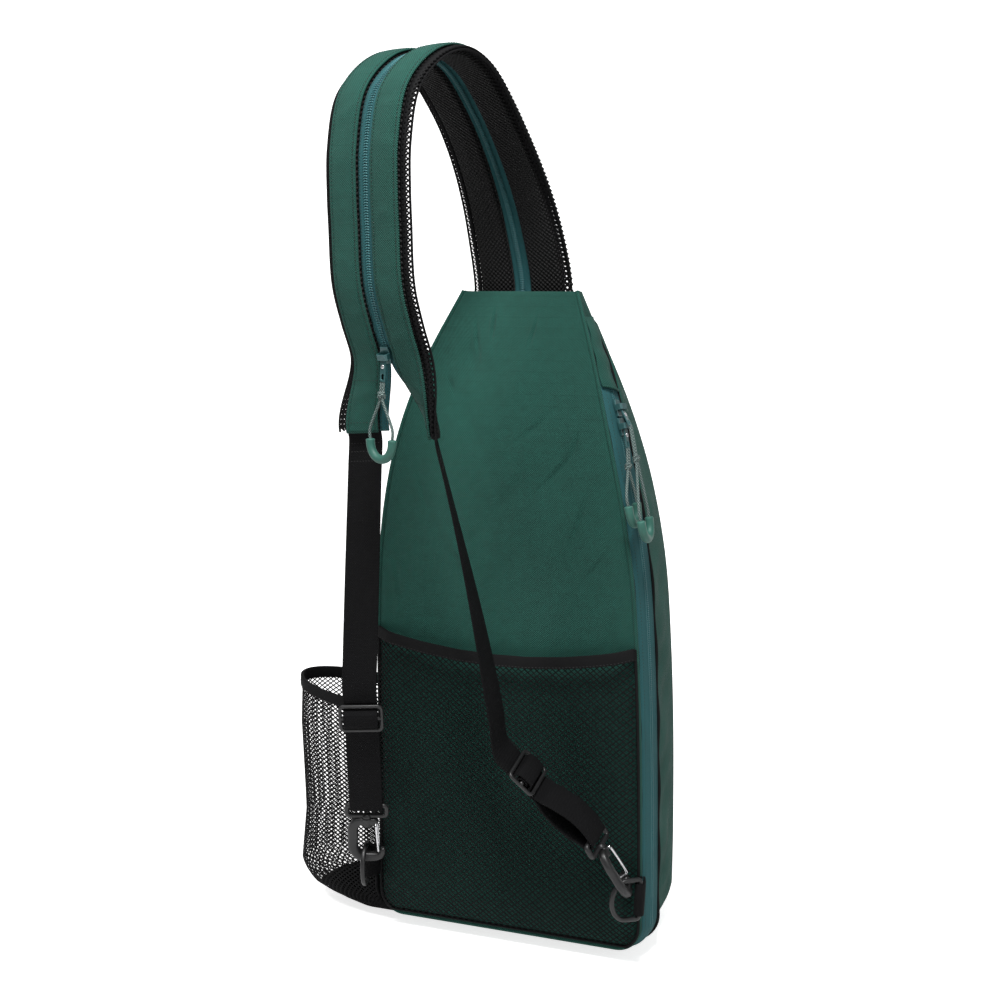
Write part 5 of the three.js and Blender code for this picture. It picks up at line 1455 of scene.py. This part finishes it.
def back_pocket():
    """The net over the back panel, its binding and stitches, and the cords down its sides."""
    reach = lambda z: half_at(z) - B.seam_gap
    cloth_top = lambda share: pocket_top(share) - N.hem - B.seam_gap

    def place(x, z):
        share = x / reach(z)
        return pocket_point(share, z, z / cloth_top(share), 0)

    def inside(x, z):
        share = x / reach(z)
        return (np.abs(share) < 0.992) & (z < cloth_top(share) + N.hem * 0.3)

    shape = Shape()
    half = B.width / 2
    net(shape, with_normals(place), (-half, half), (2.5, N.back_height), (N.hole_width, N.hole_height),
        math.sqrt(N.open_share), N.wall, inside)
    shape.make("back_pocket_mesh", "net", replaces=("back_pocket_net",), fix=True)

    # the binding: a folded band along the sagging top, then cords of binding down the sides
    share = np.linspace(-1, 1, 120)
    ring = box_ring(N.hem, N.hem_wall, 0.9, 4)
    middle = pocket_point(share, pocket_top(share) - N.hem / 2, np.ones(120), N.hem_wall / 2 - NET_WALL)
    middle[:, 1] += 0.35 * np.sin(share * 23) * (1 - share**2)
    shape = Shape()
    rod(shape, middle, ring, ref=(0, 0, 1))
    shape.make("back_pocket_binding", "bind", replaces=("back_pocket_hem",), fix=True)
    thread = Shape()
    line = middle + (0, -N.hem_wall / 2, -N.hem * 0.36)
    stitches(thread, line, (0, -1, 0), (0, 0, 1), 2.6)
    thread.make("back_pocket_stitches", "dark_thread")
    z = np.linspace(2, N.back_height - 1, 120)
    sides = Shape()
    for side in (-1, 1):
        edge = np.stack([side * (half_at(z) - 0.2), back_at(z) - 0.7, z], 1)
        rod(sides, edge, circle(1.5, 8, 0.8), ref=(0, 1, 0))
    x = np.linspace(-half_at(3.0) + 1, half_at(3.0) - 1, 60)
    rod(sides, np.stack([x, 0 * x - 0.5, 0 * x + 2.6], 1), circle(1.4, 8, 0.8), ref=(0, 1, 0))
    sides.make("back_pocket_edges", "bind")


def cup_point(u, z, reach, grow, pucker=0.0):
    """Bottle pocket: y runs across the side wall, x stands out by sin(pi u) to 0.72 times the reach."""
    start = B.back_wall + B.seam_gap + NET_WALL
    y = start + N.cup_depth * (1 - np.cos(np.pi * u)) / 2
    out = np.maximum(0, np.sin(np.pi * u)) ** 0.72
    base = np.maximum(0, z)
    root = half_at(base) + bulge_at(base, y) + 2.5 * B.seam_gap + NET_WALL + grow
    depth = (y - start - N.cup_depth / 2) * (grow / N.cup_depth) * 2
    x = -root - (N.cup_reach + grow) * reach * out * (1 - pucker)
    return np.stack(np.broadcast_arrays(x, y + depth, z), -1)


def rim_at(u):
    """The bottle pocket's rim: its height less dip times (1 - sine of pi u)."""
    return N.cup_height - N.rim_dip * (1 - np.sin(np.pi * u))


def cup_at(u, v, grow=0.0):
    """The pocket's profile read by its length v (0 to 1), hanging lower in the middle, with drags."""
    height, reach = CUP_PROFILE[:, 0], CUP_PROFILE[:, 1]
    run = np.r_[0, np.cumsum(np.hypot(np.diff(height) * N.cup_height, np.diff(reach) * N.cup_reach))]
    run /= run[-1]
    h, r = np.interp(v, run, height), np.interp(v, run, reach)
    hang = N.cup_drop * np.sin(np.pi * u) * (1 - h) ** 2
    z = h * (rim_at(u) - N.hem - B.seam_gap) - hang
    drag = 0.010 * np.sin(u * 26 + v * 3) * (1 - v) * v * 3 + 0.006 * np.sin(v * 9 + u * 5)
    gather = 0.02 * np.sin(u * 75) * np.exp(-((v / 0.28) ** 2))
    return cup_point(u, z, r, grow, (drag + gather) * np.sin(np.pi * u))


def bottle_pocket():
    """The net round the cup, its binding and stitches, its seams and the gathered patch."""
    u = np.linspace(0, 1, 200)
    run_u = run_of(cup_at(u, np.full(200, 0.7)))
    wide, tall = run_u[-1], path_length(cup_at(np.full(200, 0.5), u))

    def place(a, b):
        return cup_at(np.interp(a, run_u, u), np.clip(b / tall, 0, 1.01))

    shape = Shape()
    net(shape, with_normals(place), (0.5, wide - 0.5), (6, tall + 3), (N.hole_width, N.hole_height),
        math.sqrt(0.8 * N.open_share), N.wall)
    shape.make("bottle_pocket_mesh", "net", replaces=("bottle_pocket_net",), fix=True)

    u = np.linspace(0, 1, 110)
    grow = (N.hem_wall - NET_WALL) / 2
    reach = CUP_PROFILE[-1, 1]
    middle = cup_point(u, rim_at(u) - N.hem / 2, np.full(110, reach), grow)
    shape = Shape()
    rod(shape, even_steps(middle, 140), box_ring(N.hem, N.hem_wall, 0.9, 4), ref=(0, 0, 1))
    shape.make("bottle_pocket_binding", "bind", replaces=("bottle_pocket_hem",), fix=True)
    thread = Shape()
    line = even_steps(cup_point(u, rim_at(u) - N.hem * 0.86, np.full(110, reach), grow + N.hem_wall / 2), 140)
    way = unit(np.cross(np.gradient(line, axis=0), (0, 0, 1)))
    way = way if way[70, 0] < 0 else -way
    stitches(thread, line, way, (0, 0, 1), 2.6)
    thread.make("bottle_pocket_stitches", "dark_thread")
    # seam where the gathered bottom and the two upright edges are sewn to the side wall
    edges = Shape()
    for k in (0.004, 0.996):
        rod(edges, cup_at(np.full(60, k), np.linspace(0.3, 1, 60)), circle(1.4, 8), ref=(0, 1, 0))
    low = cup_at(np.linspace(0.0, 1, 90), np.full(90, 0.02))
    rod(edges, low + np.array([0.4, 0, 0.6]), circle(2.4, 10, 0.7), ref=(0, 0, 1))
    edges.make("bottle_pocket_seams", "bind")
    # the gathered patch under it: pleats of doubled net
    u = np.linspace(0.06, 0.94, 130)[:, None]
    v = np.linspace(0.03, 0.30, 14)[None, :]
    patch = cup_at(u + 0 * v, v + 0 * u, 0.0)
    fold = 0.8 * np.sin(u * 120 + 2 * np.sin(v * 20)) * np.cos(v * 5)
    shape = Shape()
    outer = patch + (0, 0, 1) * (1.4 + 0.35 * fold)[..., None]
    shape.wall(outer, outer + (0, 0, 0.7))
    shape.make("bottle_pocket_gathers", "bind", fix=True)


# Zip pulls

PULLS = {
    # down the line, off it and aside, in millimetres; the knot's drop; the tab's own lift and aside
    "side_upper": dict(drop=76, lift=11, aside=-16, knot=36, tab_lift=10, tab_aside=-4),
    "side_lower": dict(drop=52, lift=4, aside=-18, knot=27, tab_lift=4, tab_aside=-5),
    "strap": dict(drop=54, lift=7, aside=0, knot=25, tab_lift=5, tab_aside=0),
}
SLIDER = dict(wall=2.0, room=3.3, grip_depth=17, side_zip_top=400)


def side_frame(z):
    """Place, along and out on the side zip's middle line."""
    def point(at, aside):
        y = float(seam_at(at)) + (float(band_at(at)) - B.seam_gap) / 2 + aside
        return np.array([float(half_at(at)) + float(bulge_at(at, y)), y, at])

    along = unit(point(z + 2, 0) - point(z - 2, 0))
    out = unit(np.cross(point(z, 2) - point(z, -2), along))
    return point(z, 0), along, out


def pull_places(name):
    """The tab's end, the knot and the grip's line, worked out as the solids are."""
    pull = PULLS[name]
    if name == "strap":
        place, along, across, out = (v[0] for v in strap_frame(S.slit))
        seat = place + out * (tape_level() + ZIP_WALL + 2.2 * LAYER_GAP - S.thickness / 2)
        at = lambda drop, lift, aside: seat + out * lift + across * aside - (0, 0, drop)
        face = out
    else:
        z = SLIDER["side_zip_top"] - (P.slider + 1 if name == "side_lower" else 0)
        face = side_frame(z)[2]

        def at(drop, lift, aside):
            place, _, out = side_frame(z - drop)
            return place + out * (lift + LAYER_GAP) + (0, aside, 0)

    start = at(0, SLIDER["wall"] + SLIDER["room"] / 2, 0)
    end = at(P.tab, pull["tab_lift"], pull["tab_aside"])
    up = unit(start - end)
    face = unit(face - up * np.dot(face, up))
    low = start - up * (P.tab + LAYER_GAP)
    knot = at(pull["knot"], (pull["lift"] + pull["tab_lift"]) / 2, (pull["aside"] + pull["tab_aside"]) / 2)
    angle = np.linspace(0, np.pi, 17)
    depth = SLIDER["grip_depth"] - P.grip_radius
    half = P.grip / 2 - P.grip_radius
    grip = []
    for a in angle:
        drop = pull["drop"] + depth * math.sin(a) ** 0.8 if 0 < a < np.pi else pull["drop"]
        grip.append(at(drop, pull["lift"], pull["aside"] - half * math.cos(a)))
    return up, face, low, knot, np.array(grip)


def pull(name):
    """One cord from the tab, through the knot and the bent grip and back; the grip; the knot."""
    up, face, low, knot, grip = pull_places(name)
    aside = np.cross(up, face)
    spread = P.cord * 0.55
    top = [low - aside * spread, low + aside * spread]
    tied = [knot - aside * spread, knot + aside * spread]
    lead = [grip[0] + unit(grip[0] - grip[1]) * 6, grip[-1] + unit(grip[-1] - grip[-2]) * 6]
    down = unit(knot - low)
    # straight through the knot, then apart to the two ends of the grip
    points = ([top[0], tied[0] - down * 3, tied[0], tied[0] + down * 3, lead[0]] + list(grip[::2])
              + [lead[1], tied[1] + down * 3, tied[1], tied[1] - down * 3, top[1]])
    path = smooth_path(points, 220)
    shape = Shape()
    rod(shape, path, circle(P.cord / 2, 12), ref=face)
    cord = shape.make(f"pull_cord_loop_{name}", "cord", replaces=(f"pull_cord_{name}",))
    # the grip: a moulded tube, a little flared at both ends
    line = smooth_path(grip, 90)
    share = np.linspace(-1, 1, 90)
    flare = np.sqrt(np.clip((1 - np.abs(share)) / 0.03, 0.16, 1))
    size = P.grip_radius * (0.93 + 0.07 * np.abs(share) ** 6) * flare
    shape = Shape()
    rod(shape, line, circle(1, 20)[None] * size[:, None, None], ref=face)
    hold = shape.make(f"pull_grip_moulded_{name}", "grip", replaces=(f"pull_grip_{name}",))
    # the knot: two turns of the cord about the strands, and a small ball of cord within them
    shape = Shape()
    angle = np.linspace(0, 4 * np.pi, 90)
    turn = (knot + down * (np.linspace(-2.0, 2.0, 90) + 0.5 * np.sin(angle * 1.5))[:, None]
            + aside * (2.1 * np.cos(angle))[:, None] + face * (1.7 * np.sin(angle))[:, None])
    rod(shape, turn, circle(P.cord / 2 * 1.05, 10), ref=down)
    t = np.linspace(0.12, np.pi - 0.12, 12)
    ball = knot + down * (-2.6 * np.cos(t))[:, None]
    rod(shape, ball, circle(1, 14, 0.85)[None] * (2.2 * np.sin(t))[:, None, None], ref=aside)
    tied_knot = shape.make(f"pull_knot_{name}", "cord")
    route = (path + OFFSET) / 1000
    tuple(route[0])
    path_length(path) / 1000


def metal_parts():
    """The sliders and tabs keep their solids: painted, with worn edges in their finish, and a rivet on each
    tab.
    """
    for name in PULLS:
        for node in (f"slider_{name}", f"pull_tab_{name}"):
            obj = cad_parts[node]
            for k in range(len(obj.material_slots)):
                obj.material_slots[k].material = FINISH["metal"]
        up, face, low, _, _ = pull_places(name)
        shape = Shape()
        seat = low + up * (P.tab * 0.62)
        t = np.array([0.0, 0.25, 0.5, 0.7, 0.85, 0.95, 1.0])
        radius = 1.5 * np.sqrt(np.maximum(0.002, 1 - t**3))
        path = seat + face * (0.55 + 0.75 * t)[:, None]
        rod(shape, path, circle(1, 16)[None] * radius[:, None, None], ref=up)
        shape.make(f"tab_rivet_{name}", "wire")


# Stage

# place in metres, tilt and turn in degrees, lens in millimetres
CAMERA = dict(place=(0.42163, -0.94703, -0.14376), tilt=90 - 8.52, turn=21.21, lens=54)
LAMPS = {
    # place, aim and diameter in metres, power in watts
    "key": ((-1.0, -1.1, 1.5), (0, 0, -0.05), 0.4, 20),
    "fill": ((2.0, -0.9, 0.3), (0, 0.05, -0.35), 1.4, 6),
    "top": ((0.3, -0.6, 0.95), (0, 0.05, -0.1), 0.35, 27),
    "back": ((0.5, 1.6, 0.9), (0, 3, 0.2), 1.8, 34),
}
# the sweep's own glow and the world, which the camera sees at full strength
SWEEP_GLOW, WORLD_LIGHT = 0.75, 0.26


def lamp(name, place, aim, size, power):
    """A round area light at a place, turned to its aim."""
    data = bpy.data.lights.new(name, "AREA")
    data.shape, data.size, data.energy = "DISK", size, power
    obj = bpy.data.objects.new(name, data)
    bpy.context.scene.collection.objects.link(obj)
    obj.location = place
    obj.rotation_euler = (Vector(aim) - Vector(place)).to_track_quat("-Z", "Y").to_euler()


def camera():
    """The photo's camera: its place, tilt, turn and lens."""
    data = bpy.data.cameras.new("camera")
    data.lens, data.sensor_width, data.clip_start = CAMERA["lens"], 36, 0.02
    obj = bpy.data.objects.new("camera", data)
    bpy.context.scene.collection.objects.link(obj)
    obj.location = CAMERA["place"]
    obj.rotation_euler = (math.radians(CAMERA["tilt"]), 0, math.radians(CAMERA["turn"]))
    bpy.context.scene.camera = obj


def studio():
    """A pale floor that rises into a backdrop behind the bag, soft lights and a white world."""
    low = CAD_BOX[0][2] - 0.002
    radius, back, wide = 0.9, 3.4, 6.0
    angle = np.linspace(0, np.pi / 2, 24)
    profile = [(-4.0, low)]
    profile += [(back - radius + radius * math.sin(a), low + radius * (1 - math.cos(a))) for a in angle]
    profile += [(back, 4.5)]
    turn = math.radians(CAMERA["turn"])
    rows = []
    for far, z in profile:
        rows.append([(x * math.cos(turn) - far * math.sin(turn), x * math.sin(turn) + far * math.cos(turn), z)
                     for x in np.linspace(-wide, wide, 5)])
    points = np.array(rows)
    count = points.shape[1]
    i, j = np.meshgrid(np.arange(len(rows) - 1), np.arange(count - 1), indexing="ij")
    faces = quads(i, j, j + 1, count).tolist()
    mesh = bpy.data.meshes.new("studio_sweep")
    mesh.from_pydata(points.reshape(-1, 3).tolist(), [], faces)
    mesh.polygons.foreach_set("use_smooth", np.full(len(faces), True))
    obj = bpy.data.objects.new("studio_sweep", mesh)
    bpy.context.scene.collection.objects.link(obj)
    material = bpy.data.materials.new("Pale sweep")
    material.use_nodes = True
    shader = material.node_tree.nodes["Principled BSDF"]
    shader.inputs["Base Color"].default_value = (*sizes("colours").floor, 1)
    shader.inputs["Roughness"].default_value = 0.85
    wires = Wires(material.node_tree)
    seen = wires.node("LightPath").outputs["Is Camera Ray"]
    wires.put(shader.inputs["Emission Color"], seen)
    shader.inputs["Emission Strength"].default_value = SWEEP_GLOW
    mesh.materials.append(material)

    for name, rest in LAMPS.items():
        lamp(name, *rest)
    world = bpy.data.worlds.new("studio")
    bpy.context.scene.world = world
    world.use_nodes = True
    light = world.node_tree.nodes["Background"].inputs
    light["Color"].default_value = (1, 1, 1, 1)
    wires = Wires(world.node_tree)
    seen = wires.node("LightPath").outputs["Is Camera Ray"]
    wires.put(light["Strength"], wires.math("MULTIPLY_ADD", seen, 1 - WORLD_LIGHT, WORLD_LIGHT))
    view = bpy.context.scene.view_settings
    view.view_transform, view.look, view.exposure = "Standard", "None", 0.0


# Operators

FINISH = {}


def ready():
    """The sizes, the strap's route and the materials, read once from the settings."""
    global B, S, N, R, P, ROUTE, OFFSET
    if FINISH:
        return
    B, S, N, R, P = (sizes(kind) for kind in ("body", "strap", "nets", "rigs", "pulls"))
    ROUTE = strap_route()
    OFFSET = -shoulder_rest()
    FINISH.update(finishes())


class SLINGBAG_OT_stage(bpy.types.Operator):
    """Camera at the photo's angle, pale sweep, soft studio lights"""
    bl_idname = "slingbag.stage"
    bl_label = "Stage"

    def execute(self, context):
        ready()
        camera()
        studio()
        return {"FINISHED"}


class SLINGBAG_OT_pulls(bpy.types.Operator):
    """Three zip pulls: knotted cord loops with bent grips, painted sliders and tabs"""
    bl_idname = "slingbag.pulls"
    bl_label = "Zip pulls"

    def execute(self, context):
        ready()
        for name in PULLS:
            pull(name)
        metal_parts()
        return {"FINISHED"}


class SLINGBAG_OT_body(bpy.types.Operator):
    """Back and front panels, gusset, seams and the gathered top"""
    bl_idname = "slingbag.body"
    bl_label = "Body cloth"

    def execute(self, context):
        ready()
        back_panel()
        front_panel()
        gusset()
        seams()
        mouth_cover()
        return {"FINISHED"}


class SLINGBAG_OT_side_zip(bpy.types.Operator):
    """The side zip's tapes, coil rows, stitches and seams"""
    bl_idname = "slingbag.side_zip"
    bl_label = "Side zip"

    def execute(self, context):
        ready()
        side_zip()
        zip_garage()
        return {"FINISHED"}


class SLINGBAG_OT_strap(bpy.types.Operator):
    """Both halves of the padded strap with cloth faces, mesh edges, zip tapes and stitches"""
    bl_idname = "slingbag.strap"
    bl_label = "Padded strap"

    def execute(self, context):
        ready()
        for name in HALF_ENDS:
            strap_half(name)
        strap_coil()
        return {"FINISHED"}


class SLINGBAG_OT_rigs(bpy.types.Operator):
    """The two lower webbings with tri-glides, swivel hooks, wire gates, D-rings and their tabs"""
    bl_idname = "slingbag.rigs"
    bl_label = "Webbings and hooks"

    def execute(self, context):
        ready()
        for name in RINGS:
            places = rig_places(name)
            for part in (webbing, tri_glide, hook_body, hook_eye, gate, d_ring, ring_tab):
                part(name, places)
        return {"FINISHED"}


class SLINGBAG_OT_back_pocket(bpy.types.Operator):
    """The back pocket's net and its bindings"""
    bl_idname = "slingbag.back_pocket"
    bl_label = "Back pocket"

    def execute(self, context):
        ready()
        back_pocket()
        return {"FINISHED"}


class SLINGBAG_OT_bottle_pocket(bpy.types.Operator):
    """The bottle pocket's net, binding, seams and gathers"""
    bl_idname = "slingbag.bottle_pocket"
    bl_label = "Bottle pocket"

    def execute(self, context):
        ready()
        bottle_pocket()
        return {"FINISHED"}


STEPS = (SLINGBAG_OT_stage, SLINGBAG_OT_pulls, SLINGBAG_OT_body, SLINGBAG_OT_side_zip, SLINGBAG_OT_strap,
         SLINGBAG_OT_rigs, SLINGBAG_OT_back_pocket, SLINGBAG_OT_bottle_pocket)
GROUPS = {"body": BodySizes, "strap": StrapSizes, "nets": NetSizes, "rigs": RigSizes, "pulls": PullSizes,
          "colours": Colours}


class SLINGBAG_PT_panel(bpy.types.Panel):
    """Every step of the bag's making"""
    bl_idname = "SLINGBAG_PT_panel"
    bl_label = "Sling bag"
    bl_space_type = "VIEW_3D"
    bl_region_type = "UI"
    bl_category = "Sling bag"

    def draw(self, context):
        for step in STEPS:
            self.layout.operator(step.bl_idname, text=step.bl_label)


def register():
    """The classes, then one settings pointer for each group."""
    for kind in (*GROUPS.values(), *STEPS, SLINGBAG_PT_panel):
        bpy.utils.register_class(kind)
    for name, kind in GROUPS.items():
        setattr(bpy.types.Scene, "sling_bag_" + name, bpy.props.PointerProperty(type=kind))


def unregister():
    """The same in reverse order."""
    for name in GROUPS:
        delattr(bpy.types.Scene, "sling_bag_" + name)
    for kind in (SLINGBAG_PT_panel, *reversed(STEPS), *reversed(list(GROUPS.values()))):
        bpy.utils.unregister_class(kind)


def main():
    register()
    for step in STEPS:
        group_name, name = step.bl_idname.split(".")
        getattr(getattr(bpy.ops, group_name), name)()


if __name__ == "__main__":
    main()
